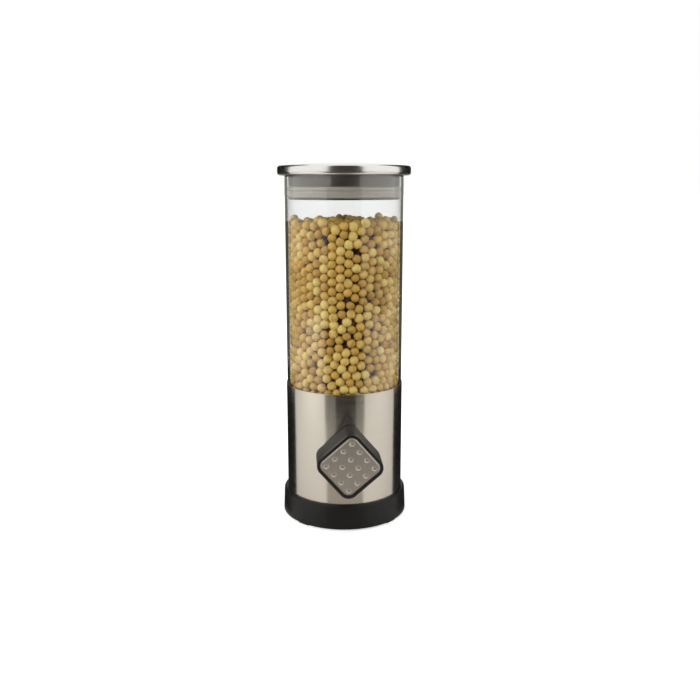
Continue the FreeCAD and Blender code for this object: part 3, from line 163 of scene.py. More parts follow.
def turned(name, corners, segments=192):
    """Mesh of a piece turned about Z from a closed outline in millimetres."""
    path = [(point.x * MM, point.y * MM) for point in rounded(corners)]
    verts = []
    for radius, height in path:
        for step in range(segments):
            angle = 2 * math.pi * step / segments
            verts.append((radius * math.cos(angle), radius * math.sin(angle), height))
    faces = []
    for ring in range(len(path)):
        after = (ring + 1) % len(path)
        if path[ring][0] == 0 and path[after][0] == 0:
            continue
        for step in range(segments):
            beside = (step + 1) % segments
            faces.append((ring * segments + step, ring * segments + beside,
                          after * segments + beside, after * segments + step))
    mesh = bpy.data.meshes.new(name)
    mesh.from_pydata(verts, [], faces)
    work = bmesh.new()
    work.from_mesh(mesh)
    bmesh.ops.remove_doubles(work, verts=work.verts, dist=1e-7)
    bmesh.ops.recalc_face_normals(work, faces=work.faces)
    work.to_mesh(mesh)
    work.free()
    soften(mesh)
    return mesh


# Satin black with a fine, even grain: light spreads softly over it and never shows as a mirror image
black_abs, tree, shader = new_material("black_abs_satin", IOR=1.52, Specular_IOR_Level=0.3)
# The spark texture is about 0.15 mm, drawn at 0.5 mm so that it shows at this size
grain = object_noise(tree, (2000, 2000, 2000), detail=3.0)
relief(tree, shader, grain, 0.00004)
wide = object_noise(tree, (60, 60, 60))
tree.links.new(two_tone(tree, wide, "#121110", "#161514"), shader.inputs["Base Color"])
tree.links.new(spread(tree, grain, 0.36, 0.5), shader.inputs["Roughness"])

base_mesh = turned("base_skirt", [
    (SKIRT_FOOT_R, PAD_HEIGHT, 0.8), (SKIRT_TOP_R, SKIRT_TOP, 1.9), (SKIRT_BORE_R, SKIRT_TOP, 0.3),
    (SKIRT_BORE_R, DECK_TOP), (OUTLET_R, DECK_TOP), (OUTLET_R, DECK_UNDER),
    (SKIRT_HOLLOW_R, DECK_UNDER, 1.0), (SKIRT_HOLLOW_R, PAD_HEIGHT, 0.4)])
new_piece("base_skirt", base_mesh, black_abs, "housing", "base_black", "base_ring")

# Base feet
# Four soft rubber pads glued under the skirt, each a short arc of the ring. They leave the slight
# steps that the photograph shows under the base.
PAD_OUTER_R = 51.55
PAD_INNER_R = 46.35
PAD_HALF_ANGLE = 6
PAD_STEPS = 8
PAD_COUNT = 4
FIRST_PAD_ANGLE = math.radians(45)


def new_group(name, kinds):
    """Geometry Nodes tree from geometry to geometry with named inputs of some kinds, and its input node."""
    tree = bpy.data.node_groups.new(name, "GeometryNodeTree")
    tree.interface.new_socket("Geometry", in_out="INPUT", socket_type="NodeSocketGeometry")
    for key, kind in kinds.items():
        tree.interface.new_socket(key, in_out="INPUT", socket_type="NodeSocket" + kind)
    tree.interface.new_socket("Geometry", in_out="OUTPUT", socket_type="NodeSocketGeometry")
    return tree, add_node(tree, "NodeGroupInput")


def made_by_nodes(name, single, tree, settings):
    """Plain mesh that a Geometry Nodes tree makes from a starting mesh with named settings."""
    holder = bpy.data.objects.new(name + "_source", single)
    bpy.context.scene.collection.objects.link(holder)
    modifier = holder.modifiers.new("nodes", "NODES")
    modifier.node_group = tree
    for item in tree.interface.items_tree:
        if item.in_out == "INPUT" and item.name in settings:
            modifier[item.identifier] = settings[item.name]
    graph = bpy.context.evaluated_depsgraph_get()
    mesh = bpy.data.meshes.new_from_object(holder.evaluated_get(graph))
    holder.modifiers.remove(modifier)
    bpy.data.objects.remove(holder)
    mesh.name = name
    return mesh


def repeated_round(name, single, copies, first_angle, material):
    """Mesh of one piece repeated evenly round Z by Geometry Nodes."""
    tree, given = new_group(name, {"Copies": "Int", "First angle": "Float"})
    points = add_node(tree, "GeometryNodePoints", {"Count": given.outputs["Copies"]})
    index = add_node(tree, "GeometryNodeInputIndex")
    share = add_node(tree, "ShaderNodeMath", {0: index.outputs[0], 1: given.outputs["Copies"]},
                     operation="DIVIDE")
    turn = add_node(tree, "ShaderNodeMath", {
        0: share.outputs[0], 1: 2 * math.pi, 2: given.outputs["First angle"]}, operation="MULTIPLY_ADD")
    about_z = add_node(tree, "ShaderNodeCombineXYZ", {"Z": turn.outputs[0]})
    rotation = add_node(tree, "FunctionNodeEulerToRotation", {"Euler": about_z.outputs[0]})
    placed = add_node(tree, "GeometryNodeInstanceOnPoints", {
        "Points": points.outputs[0], "Instance": given.outputs["Geometry"], "Rotation": rotation.outputs[0]})
    real = add_node(tree, "GeometryNodeRealizeInstances", {"Geometry": placed.outputs[0]})
    finish = add_node(tree, "GeometryNodeSetMaterial", {"Geometry": real.outputs[0], "Material": material})
    add_node(tree, "NodeGroupOutput", {"Geometry": finish.outputs[0]})
    return made_by_nodes(name, single, tree, {"Copies": copies, "First angle": first_angle})


# Dull soft rubber: dark, with almost no shine and a slightly dusty, mottled face
foot_rubber, tree, shader = new_material("foot_rubber_dull", Roughness=0.8, IOR=1.52)
dust = object_noise(tree, (400, 400, 400), detail=4.0)
tree.links.new(two_tone(tree, dust, "#1d1c1b", "#2b2a28"), shader.inputs["Base Color"])
relief(tree, shader, dust, 0.00005)

work = bmesh.new()
pad_angles = [math.radians(PAD_HALF_ANGLE * (2 * step / PAD_STEPS - 1)) for step in range(PAD_STEPS + 1)]
for height in (0.0, PAD_HEIGHT):
    for radius, angles in ((PAD_OUTER_R, pad_angles), (PAD_INNER_R, reversed(pad_angles))):
        for angle in angles:
            work.verts.new((radius * MM * math.cos(angle), radius * MM * math.sin(angle), height * MM))
work.verts.ensure_lookup_table()
pad_corners = 2 * len(pad_angles)
lower = work.verts[:pad_corners]
upper = work.verts[pad_corners:]
work.faces.new(lower)
work.faces.new(upper)
for step in range(pad_corners):
    beside = (step + 1) % pad_corners
    work.faces.new((lower[step], lower[beside], upper[beside], upper[step]))
bmesh.ops.recalc_face_normals(work, faces=work.faces)
pad = bpy.data.meshes.new("foot_pad")
work.to_mesh(pad)
work.free()
soften(pad)
feet_mesh = repeated_round("foot_pads", pad, PAD_COUNT, FIRST_PAD_ANGLE, foot_rubber)
new_piece("foot_pads", feet_mesh, foot_rubber, "housing", "foot_rubber", "base_feet")

# Screws
# Zinc-plated socket screws: four under the base hold base, shell and housing together, four more close
# the housing's front plate. The CAD heads and sockets stay and get their plating.


def mottled(tree, shader, source, first, second, low, high):
    """Colour between two hex codes and roughness between two numbers, both following one texture."""
    tree.links.new(two_tone(tree, source, first, second), shader.inputs["Base Color"])
    tree.links.new(spread(tree, source, low, high), shader.inputs["Roughness"])


def dress(material, *names):
    """One finish on CAD nodes that keep their form."""
    for name in names:
        nodes[name].data.materials.clear()
        nodes[name].data.materials.append(material)


# Zinc plate: a cool, slightly cloudy grey metal, duller in patches
zinc, tree, shader = new_material("zinc_plated_steel", Metallic=1.0)
cloud = object_noise(tree, (300, 300, 300), detail=3.0)
mottled(tree, shader, cloud, "#9fa1a3", "#bfc1c2", 0.24, 0.42)
dress(zinc, "base_screws", "plate_screws")

# Inner mouldings
# The shell that carries the tube, the drum housing round the dosing wheel, its front plate, the stand with
# the chute and the funnel are plain black polypropylene mouldings, seen only from below.

# Plain moulded polypropylene: waxy, even and darker than the base, with faint flow marks
inner_black, tree, shader = new_material("black_polypropylene", IOR=1.49)
flow = object_noise(tree, (90, 90, 25), detail=3.0)
mottled(tree, shader, flow, "#1c1c1b", "#252423", 0.38, 0.5)
dress(inner_black, "inner_shell", "drum_housing", "chute_stand", "front_plate", "hopper_funnel")

# Metal sleeve
# A tube of thin stainless sheet, polished round and round and slid over the shell, with a hole at the
# front for the axle's boss. Its top edge stands round the foot of the clear tube.
SLEEVE_R = 48.7
SLEEVE_BORE_R = 48.1
SLEEVE_TOP = 113.0
SLEEVE_ROUND = 0.25
AXLE_HEIGHT = 63.0
BOSS_HOLE_R = 8.95
# Rings on the outside, this far above and below the axle, keep the hole's cut to the faces between them
HOLE_BAND = 12.0
DRILL_MIDDLE_Y = -48.0
DRILL_LENGTH = 20.0

# Stainless steel with a fine finish round the tube: mirror-like across, drawn out up and down, warm grey
sleeve_steel, tree, shader = new_material(
    "brushed_stainless", Metallic=1.0, Anisotropic=0.75, Anisotropic_Rotation=0.25)
# The finish's lines are about 0.05 mm apart, drawn at 0.5 mm and slowly changing along each line
lines = object_noise(tree, (12, 12, 2000), detail=3.0, roughness=0.6)
around = add_node(tree, "ShaderNodeTangent", direction_type="RADIAL", axis="Z")
tree.links.new(around.outputs["Tangent"], shader.inputs["Tangent"])
mottled(tree, shader, lines, "#d3cbbd", "#dbd3c6", 0.16, 0.24)
relief(tree, shader, lines, 0.000003)

sleeve_mesh = turned("sleeve", [
    (SLEEVE_R, DECK_TOP), (SLEEVE_R, AXLE_HEIGHT - HOLE_BAND), (SLEEVE_R, AXLE_HEIGHT + HOLE_BAND),
    (SLEEVE_R, SLEEVE_TOP, SLEEVE_ROUND), (SLEEVE_BORE_R, SLEEVE_TOP, SLEEVE_ROUND),
    (SLEEVE_BORE_R, DECK_TOP)], segments=256)
drill = bpy.data.meshes.new("sleeve_drill")
work = bmesh.new()
drill_place = Matrix.Translation((0, DRILL_MIDDLE_Y * MM, AXLE_HEIGHT * MM))
bmesh.ops.create_cone(
    work, cap_ends=True, segments=64, radius1=BOSS_HOLE_R * MM, radius2=BOSS_HOLE_R * MM,
    depth=DRILL_LENGTH * MM, matrix=drill_place @ Matrix.Rotation(math.radians(90), 4, "X"))
work.to_mesh(drill)
work.free()
drill_piece = bpy.data.objects.new("sleeve_drill", drill)
sleeve_source = bpy.data.objects.new("sleeve_source", sleeve_mesh)
for item in (drill_piece, sleeve_source):
    bpy.context.scene.collection.objects.link(item)
cut = sleeve_source.modifiers.new("hole", "BOOLEAN")
cut.object = drill_piece
cut.operation = "DIFFERENCE"
cut.solver = "EXACT"
sleeve_cut = bpy.data.meshes.new_from_object(
    sleeve_source.evaluated_get(bpy.context.evaluated_depsgraph_get()))
for item in (sleeve_source, drill_piece):
    bpy.data.objects.remove(item)
soften(sleeve_cut)
new_piece("sleeve", sleeve_cut, sleeve_steel, "housing", "sleeve_steel", "steel_sleeve")

# Tube gasket and bushes
# A silicone ring lies between shell and tube, and two white acetal bushes and a washer carry the shaft.
# All are hidden in the closed jar and keep their CAD form.

# Acetal: milky white, smooth and a little waxy
acetal, tree, shader = new_material("white_acetal", IOR=1.48, Subsurface_Weight=0.1)
milk = object_noise(tree, (200, 200, 200))
mottled(tree, shader, milk, "#e4e2dc", "#efede8", 0.3, 0.4)
dress(acetal, "front_bush", "rear_bush", "knob_washer")

# Silicone: soft grey, even and dull, with a trace of bloom
silicone, tree, shader = new_material("grey_silicone", IOR=1.41)
bloom = object_noise(tree, (250, 250, 250), detail=3.0)
mottled(tree, shader, bloom, "#8d8880", "#9a958c", 0.5, 0.62)
dress(silicone, "tube_gasket")

# Clear tube
# Extruded clear acrylic with 2.2 mm walls, standing on the gasket inside the sleeve's top, with its upper
# edges polished round.
TUBE_R = 48.0
TUBE_BORE_R = 45.8
TUBE_FOOT = 97.5
TUBE_TOP = 282.7
TUBE_ROUND = 0.8
# Rings below the rim hold the walls' shading straight, so that they bend the light as plain walls do
RIM_RING = 281.4

# Clear acrylic: no colour of its own, sharp reflections, edges that go dark where they bend the light
acrylic, tree, shader = new_material(
    "clear_acrylic", Base_Color=linear("#fbfcfb"), IOR=1.49, Transmission_Weight=1.0)
# Extruding leaves faint waves about 30 mm long up the tube, a few hundredths of a millimetre deep
waves = object_noise(tree, (35, 35, 6))
relief(tree, shader, waves, 0.00002)
tree.links.new(spread(tree, waves, 0.0, 0.03), shader.inputs["Roughness"])

tube_mesh = turned("tube", [
    (TUBE_BORE_R, TUBE_FOOT), (TUBE_R, TUBE_FOOT), (TUBE_R, RIM_RING), (TUBE_R, TUBE_TOP, TUBE_ROUND),
    (TUBE_BORE_R, TUBE_TOP, TUBE_ROUND), (TUBE_BORE_R, RIM_RING)], segments=256)
tube = new_piece("tube", tube_mesh, acrylic, "housing", "tube_clear", "clear_tube")
# Light reaches the beans through the tube as through real acrylic, without a dark shadow of its wall
tube.visible_shadow = False

# Dry beans
# Soybeans about 7 mm across fill the tube to a rough, slightly heaped top. Only those against the wall
# and on top can be seen, so they are packed there as single beans round a dark core of painted shade.
BEAN_R = 3.75
# Length and thickness are shares of a bean's width
BEAN_LENGTH = 1.06
BEAN_THICKNESS = 0.95
SCAR_R = 2.2
# Centres nearer than this are pushed apart
BEAN_GAP = 7.35
WALL_R = TUBE_BORE_R - BEAN_R
CORE_R = 29.0
FLOOR_Z = 103.0
DRAW_TOP = 250.0
# The heap's top at its side and how far its middle rises above it, with single beans higher or lower
HEAP_SIDE = 244.0
HEAP_RISE = 1.9
HEAP_R = 45.5
HEAP_ROUGH = 4.6
# Single beans fill the top this deep, also over the core
CRUST_DEPTH = 15
# Each round undoes a share of the overlaps and moves the beans near the wall a step towards it
PACKING_ROUNDS = 70
PACKING_EASE = 0.55
LEANING_ZONE = 4.0
LEANING_STEP = 0.3


def heap_height(radius):
    """Height of the heap's top for bean centres at a distance from the axis, in millimetres."""
    return HEAP_SIDE + HEAP_RISE * (1 - (radius / HEAP_R) ** 2)


def packed_centres(seed, count):
    """Bean centres that have been pushed apart until they hardly overlap, in millimetres."""
    rng = np.random.default_rng(seed)
    found = []
    while len(found) < count:
        spot = rng.uniform((-WALL_R, -WALL_R, FLOOR_Z), (WALL_R, WALL_R, DRAW_TOP))
        reach = math.hypot(spot[0], spot[1])
        top = heap_height(reach)
        if reach < WALL_R and spot[2] < top and (reach > CORE_R or spot[2] > top - CRUST_DEPTH):
            found.append(spot)
    spots = np.array(found)
    rough = HEAP_ROUGH * rng.uniform(-1, 1, count) ** 3
    for _ in range(PACKING_ROUNDS):
        tree = kdtree.KDTree(count)
        for index, spot in enumerate(spots):
            tree.insert(spot, index)
        tree.balance()
        push = np.zeros_like(spots)
        for index, spot in enumerate(spots):
            for other, which, distance in tree.find_range(spot, BEAN_GAP):
                if which != index and distance > 1e-6:
                    push[index] += (spot - np.array(other)) / distance * (BEAN_GAP - distance) * 0.5
        spots += push * PACKING_EASE
        reach = np.hypot(spots[:, 0], spots[:, 1])
        ceiling = heap_height(reach) + rough
        deep = spots[:, 2] < ceiling - CRUST_DEPTH
        inner = np.where(deep, np.maximum(reach, CORE_R), reach)
        leaning = np.where(reach > WALL_R - LEANING_ZONE, inner + LEANING_STEP, inner)
        held = np.minimum(leaning, WALL_R) / np.maximum(reach, 1e-6)
        spots[:, 0] *= held
        spots[:, 1] *= held
        spots[:, 2] = np.clip(spots[:, 2], FLOOR_Z, ceiling)
    return spots


def bean_skin(name, dark, middle, light):
    """Bean skin between three hex codes, with a low wax shine and a brown scar at one side of each bean."""
    skin, tree, shader = new_material(name, IOR=1.46, Specular_IOR_Level=0.35)
    shade = add_node(tree, "ShaderNodeAttribute", attribute_name="tint")
    ramp = add_node(tree, "ShaderNodeValToRGB", {"Fac": shade.outputs["Fac"]})
    ramp.color_ramp.elements[0].color = linear(dark)
    ramp.color_ramp.elements[1].color = linear(light)
    ramp.color_ramp.elements.new(0.5).color = linear(middle)
    scar = add_node(tree, "ShaderNodeAttribute", attribute_name="scar")
    marked = add_node(tree, "ShaderNodeMix", {
        "Factor": scar.outputs["Fac"], "A": ramp.outputs["Color"], "B": linear("#94702c")}, data_type="RGBA")
    tree.links.new(marked.outputs["Result"], shader.inputs["Base Color"])
    wrinkles = object_noise(tree, (900, 900, 900))
    tree.links.new(spread(tree, wrinkles, 0.4, 0.55), shader.inputs["Roughness"])
    relief(tree, shader, wrinkles, 0.00005)
    return skin


def one_bean(name, cuts):
    """Slightly long ball made from a cube cut into squares, with its scar marked in an attribute."""
    work = bmesh.new()
    bmesh.ops.create_cube(work, size=2.0)
    bmesh.ops.subdivide_edges(work, edges=work.edges, cuts=cuts, use_grid_fill=True)
    for vert in work.verts:
        even = Vector(math.tan(part * math.pi / 4) for part in vert.co)
        vert.co = even.normalized() * BEAN_R * MM
        vert.co.x *= BEAN_LENGTH
        vert.co.z *= BEAN_THICKNESS
    for face in work.faces:
        face.smooth = True
    bean = bpy.data.meshes.new(name)
    work.to_mesh(bean)
    work.free()
    mark = bean.attributes.new("scar", "FLOAT", "POINT")
    side = Vector((0, -BEAN_R * MM, 0))
    for index, vert in enumerate(bean.vertices):
        mark.data[index].value = max(0.0, 1.0 - (vert.co - side).length / (SCAR_R * MM))
    return bean


def heap(name, spots, bean, material, seed):
    """Mesh of beans at many spots, each turned, sized and tinted at random by Geometry Nodes."""
    spot_mesh = bpy.data.meshes.new(name + "_spots")
    spot_mesh.from_pydata([tuple(spot * MM) for spot in spots], [], [])
    holder = bpy.data.objects.new(bean.name, bean)
    bpy.context.scene.collection.objects.link(holder)
    tree, given = new_group(name, {
        "Bean": "Object", "Smallest": "Float", "Largest": "Float", "Seed": "Int"})
    bean_info = add_node(tree, "GeometryNodeObjectInfo", {"Object": given.outputs["Bean"]})
    turns = add_node(tree, "FunctionNodeRandomValue", {
        "Min": (0, 0, 0), "Max": (2 * math.pi,) * 3, "Seed": given.outputs["Seed"]}, data_type="FLOAT_VECTOR")
    rotation = add_node(tree, "FunctionNodeEulerToRotation", {"Euler": turns.outputs["Value"]})
    sizes = add_node(tree, "FunctionNodeRandomValue", {"Seed": given.outputs["Seed"]}, data_type="FLOAT")
    tree.links.new(given.outputs["Smallest"], sizes.inputs[2])
    tree.links.new(given.outputs["Largest"], sizes.inputs[3])
    placed = add_node(tree, "GeometryNodeInstanceOnPoints", {
        "Points": given.outputs["Geometry"], "Instance": bean_info.outputs["Geometry"],
        "Rotation": rotation.outputs[0], "Scale": sizes.outputs[1]})
    tints = add_node(tree, "FunctionNodeRandomValue", {"Seed": given.outputs["Seed"]}, data_type="FLOAT")
    coloured = add_node(tree, "GeometryNodeStoreNamedAttribute", {
        "Geometry": placed.outputs[0], "Name": "tint"}, data_type="FLOAT", domain="INSTANCE")
    tree.links.new(tints.outputs[1], coloured.inputs["Value"])
    real = add_node(tree, "GeometryNodeRealizeInstances", {"Geometry": coloured.outputs[0]})
    finish = add_node(tree, "GeometryNodeSetMaterial", {"Geometry": real.outputs[0], "Material": material})
    add_node(tree, "NodeGroupOutput", {"Geometry": finish.outputs[0]})
    mesh = made_by_nodes(name, spot_mesh, tree, {
        "Bean": holder, "Smallest": 0.92, "Largest": 1.05, "Seed": seed})
    bpy.data.objects.remove(holder)
    return mesh


centres = packed_centres(seed=11, count=2195)
reach = np.hypot(centres[:, 0], centres[:, 1])
# Beans whose centres lie within 3 mm of the wall's row or 4 mm of the heap's top are the ones in the light;
# the others get the darker skin with painted shade
in_light = (reach > WALL_R - 3.0) | (centres[:, 2] > heap_height(reach) - 4.0)

# Dry soybean skin: tan, lighter and browner from bean to bean, with a soft shine
skin = bean_skin("dry_soybean_skin", "#bf9540", "#d8b25a", "#e8ce7c")
# The same skin with painted shade: browner and darker, standing for the shade of the beans before it
painted_shade_skin = bean_skin("soybean_skin_shaded", "#4a3410", "#5c4519", "#6a5322")
front_mesh = heap("beans", centres[in_light], one_bean("bean", cuts=2), skin, seed=5)
new_piece("beans", front_mesh, skin, "housing", "dry_beans", "bean_fill")
# The beans behind the lit ones wear the skin with painted shade
behind_mesh = heap("beans_behind", centres[~in_light], one_bean("plain_bean", cuts=1), painted_shade_skin, seed=6)
new_piece("beans_behind", behind_mesh, painted_shade_skin, "housing", "dry_beans", "bean_fill")

# Painted shade deep in the heap: a dark brown core where the shade between beans falls, with a hint of the
# beans behind
heap_painted_shade, tree, shader = new_material("bean_shade", Roughness=0.8)
lumps = object_noise(tree, (150, 150, 150))
tree.links.new(two_tone(tree, lumps, "#1e1205", "#3d2a10"), shader.inputs["Base Color"])
# The core goes down the funnel into its throat and ends below the single beans on top
painted_shade_core_mesh = turned("bean_core", [
    (0.0, 88.2), (12.5, 88.2), (12.5, 92.5), (35.0, 107.0, 2.0), (31.0, 112.0), (30.0, 232.0, 4.0),
    (0.0, 236.0)], segments=48)
new_piece("bean_core", painted_shade_core_mesh, heap_painted_shade, "housing", "dry_beans", "bean_fill")

# Dosing wheel
# Six soft silicone vanes in a grey moulded hub, driven by a steel shaft with a clip at its tail. They
# show only from below, through the outlet.

# Turned steel: bright, with fine rings from the lathe
shaft_steel, tree, shader = new_material("turned_steel", Metallic=1.0)
rings = object_noise(tree, (30, 1200, 30))
mottled(tree, shader, rings, "#b4b2ae", "#cbc9c5", 0.2, 0.34)
dress(shaft_steel, "drive_shaft", "shaft_clip", "knob_screw")

# Grey moulded nylon: even, faintly cloudy
hub_nylon, tree, shader = new_material("grey_nylon", IOR=1.53)
cloud = object_noise(tree, (220, 220, 220), detail=3.0)
mottled(tree, shader, cloud, "#63615e", "#6f6d69", 0.4, 0.52)
dress(hub_nylon, "wheel_hub")

# Vane silicone: paler and more matt than the seal
vane_silicone, tree, shader = new_material("white_silicone", IOR=1.41, Subsurface_Weight=0.1)
cloud = object_noise(tree, (300, 300, 300), detail=3.0)
mottled(tree, shader, cloud, "#bdbab3", "#cbc8c1", 0.5, 0.62)
dress(vane_silicone, "wheel_vanes")

# Knob body
# A square block with round corners, moulded in dark grey ABS and hollow behind, pressed on the shaft and
# held by a hidden screw. It stands a little off the diamond, turned by hand.
KNOB_ANGLE = 41


def smooth_copy(name):
    """Copy of a CAD node's mesh with its loose triangles joined and its curves shaded smooth."""
    mesh = nodes[name].data.copy()
    work = bmesh.new()
    work.from_mesh(mesh)
    bmesh.ops.remove_doubles(work, verts=work.verts, dist=1e-6)
    bmesh.ops.dissolve_limit(
        work, angle_limit=math.radians(0.2), verts=work.verts, edges=work.edges)
    work.to_mesh(mesh)
    work.free()
    soften(mesh, sharp_above=28)
    return mesh


# Dark grey ABS with a fine matt grain that catches light from above
knob_abs, tree, shader = new_material("dark_grey_abs", IOR=1.52, Specular_IOR_Level=0.3)
# The grain is about 0.1 mm, drawn at 0.4 mm so that it shows at this size
grain = object_noise(tree, (2500, 2500, 2500), detail=3.0)
wide = object_noise(tree, (70, 70, 70))
tree.links.new(two_tone(tree, wide, "#2b2826", "#302d2a"), shader.inputs["Base Color"])
tree.links.new(spread(tree, grain, 0.48, 0.62), shader.inputs["Roughness"])
relief(tree, shader, grain, 0.00003)
new_piece("knob_block", smooth_copy("knob_body"), knob_abs, "knob", "knob_grey", "knob_body")

# Knob rim
# A narrow black frame with a rounded front edge, clipped round the knob's front to hold the face.

# Smooth black ABS: deeper and glossier than the knob's sides
rim_abs, tree, shader = new_material("black_abs_smooth", IOR=1.52)
wide = object_noise(tree, (120, 120, 120))
mottled(tree, shader, wide, "#131211", "#191817", 0.28, 0.36)
new_piece("knob_frame", smooth_copy("knob_rim"), rim_abs, "knob", "rim_black", "knob_rim")

# Knob face
# A satin stainless plate with a bevelled edge, set in the frame. Sixteen round dimples are pressed into it
# in four rows, with soft edges.
FACE_HALF = 36.8 / 2
FACE_CORNER = 5.9
FACE_BACK = 75.3
FACE_FRONT = 76.5
BEVEL_WIDTH = 1.4
BEVEL_DEPTH = 0.65
DIMPLE_R = 2.2
DIMPLE_DEPTH = 0.65
DIMPLE_PITCH = 8.8
DIMPLE_ROWS = 4
DIMPLE_STEPS = 24
CUP_RINGS = 7


def rounded_square(half, corner, steps=10):
    """Points round a square with round corners, in millimetres."""
    path = []
    for quarter in range(4):
        for step in range(steps + 1):
            angle = math.radians(90 * quarter + 90 * step / steps)
            shift = Matrix.Rotation(math.radians(90 * quarter), 2) @ Vector((half - corner, half - corner))
            path.append(shift + corner * Vector((math.cos(angle), math.sin(angle))))
    return path


def dimple_ring(work, centre, radius, height):
    """Corners of a circle round a dimple's centre at some height, in millimetres."""
    angles = [2 * math.pi * step / DIMPLE_STEPS for step in range(DIMPLE_STEPS)]
    return [work.verts.new(((centre.x + radius * math.cos(angle)) * MM,
                            (centre.y + radius * math.sin(angle)) * MM, height * MM)) for angle in angles]


work = bmesh.new()
loops = []
for inset, height in ((0.0, FACE_BACK), (0.0, FACE_FRONT - BEVEL_DEPTH), (BEVEL_WIDTH, FACE_FRONT)):
    loops.append([work.verts.new((spot.x * MM, spot.y * MM, height * MM))
                  for spot in rounded_square(FACE_HALF - inset, FACE_CORNER - inset)])
for low, high in zip(loops, loops[1:]):
    for step in range(len(low)):
        beside = (step + 1) % len(low)
        work.faces.new((low[step], low[beside], high[beside], high[step]))
work.faces.new(list(reversed(loops[0])))
edges = [work.edges.get((loops[-1][step], loops[-1][(step + 1) % len(loops[-1])]))
         for step in range(len(loops[-1]))]
middle = (DIMPLE_ROWS - 1) / 2
for row in range(DIMPLE_ROWS):
    for column in range(DIMPLE_ROWS):
        centre = Vector(((column - middle) * DIMPLE_PITCH, (row - middle) * DIMPLE_PITCH))
        ring = dimple_ring(work, centre, DIMPLE_R, FACE_FRONT)
        edges += [work.edges.new(pair) for pair in zip(ring, ring[1:] + ring[:1])]
bmesh.ops.triangle_fill(work, use_beauty=True, use_dissolve=False, edges=edges, normal=(0, 0, 1))
plate = bpy.data.meshes.new("face_plate")
work.to_mesh(plate)
work.free()

work = bmesh.new()
cup_rings = []
cup_ball = (DIMPLE_R ** 2 + DIMPLE_DEPTH ** 2) / (2 * DIMPLE_DEPTH)
for ring in range(CUP_RINGS):
    radius = DIMPLE_R * (1 - ring / CUP_RINGS)
    depth = DIMPLE_DEPTH - cup_ball + math.sqrt(cup_ball ** 2 - radius ** 2)
    cup_rings.append(dimple_ring(work, Vector((0, 0)), radius, -depth))
bottom = work.verts.new((0, 0, -DIMPLE_DEPTH * MM))
for outer, inner in zip(cup_rings, cup_rings[1:]):
    for step in range(DIMPLE_STEPS):
        beside = (step + 1) % DIMPLE_STEPS
        work.faces.new((outer[step], outer[beside], inner[beside], inner[step]))
for step in range(DIMPLE_STEPS):
    work.faces.new((cup_rings[-1][step], cup_rings[-1][(step + 1) % DIMPLE_STEPS], bottom))
cup = bpy.data.meshes.new("dimple_cup")
work.to_mesh(cup)
work.free()
cup_holder = bpy.data.objects.new("dimple_cup", cup)
bpy.context.scene.collection.objects.link(cup_holder)

# Satin stainless: a soft grey metal with short lines one way, bright only where an edge turns to the light
face_steel, tree, shader = new_material("satin_stainless", Metallic=1.0)
# The lines are about 0.05 mm wide, drawn at 0.3 mm
lines = object_noise(tree, (3000, 3000, 60))
mottled(tree, shader, lines, "#c6beb5", "#cfc7be", 0.3, 0.4)

tree, given = new_group("dimple_grid", {
    "Dimple": "Object", "Rows": "Int", "Width": "Float", "Height": "Float"})
cup_info = add_node(tree, "GeometryNodeObjectInfo", {"Object": given.outputs["Dimple"]})
grid = add_node(tree, "GeometryNodeMeshGrid", {
    "Size X": given.outputs["Width"], "Size Y": given.outputs["Width"],
    "Vertices X": given.outputs["Rows"], "Vertices Y": given.outputs["Rows"]})
lift = add_node(tree, "ShaderNodeCombineXYZ", {"Z": given.outputs["Height"]})
raised = add_node(tree, "GeometryNodeTransform", {
    "Geometry": grid.outputs["Mesh"], "Translation": lift.outputs[0]})
placed = add_node(tree, "GeometryNodeInstanceOnPoints", {
    "Points": raised.outputs[0], "Instance": cup_info.outputs["Geometry"]})
real = add_node(tree, "GeometryNodeRealizeInstances", {"Geometry": placed.outputs[0]})
both = add_node(tree, "GeometryNodeJoinGeometry")
tree.links.new(real.outputs[0], both.inputs[0])
tree.links.new(given.outputs["Geometry"], both.inputs[0])
closed = add_node(tree, "GeometryNodeMergeByDistance", {"Geometry": both.outputs[0], "Distance": 1e-6})
finish = add_node(tree, "GeometryNodeSetMaterial", {"Geometry": closed.outputs[0], "Material": face_steel})
add_node(tree, "NodeGroupOutput", {"Geometry": finish.outputs[0]})
face_mesh = made_by_nodes("face_plate", plate, tree, {
    "Dimple": cup_holder, "Rows": DIMPLE_ROWS, "Width": (DIMPLE_ROWS - 1) * DIMPLE_PITCH * MM,
    "Height": FACE_FRONT * MM})
bpy.data.objects.remove(cup_holder)
# The plate is made lying down at the origin, so it is turned upright, by the knob's angle and up to the axle
forward = Matrix.Translation((0, 0, AXLE_HEIGHT * MM)) @ Matrix.Rotation(math.radians(90), 4, "X")
face_mesh.transform(forward @ Matrix.Rotation(math.radians(KNOB_ANGLE), 4, "Z"))
soften(face_mesh, sharp_above=15)
new_piece("face_plate", face_mesh, face_steel, "knob", "face_steel", "knob_face")

# Lid plug and seal
# A grey moulded cup carries the lid. Its neck goes down inside the tube's mouth, and a ribbed silicone
# ring in its groove seals against the wall.
SEAL_BACK_R = 42.05
SEAL_ROOT_R = 44.9
SEAL_RIB_R = 45.6
SEAL_UNDER = 265.2
SEAL_TOP = 274.0

# Silver-lacquered plastic: satin and metallic, darker where the front of the room is dark
plug_plastic, tree, shader = new_material("silver_grey_plastic", Metallic=1.0)
flow = object_noise(tree, (80, 80, 30), detail=3.0)
mottled(tree, shader, flow, "#9a958d", "#a29d95", 0.46, 0.54)
new_piece("lid_cup", smooth_copy("lid_plug"), plug_plastic, "lid", "plug_grey", "lid_plug")

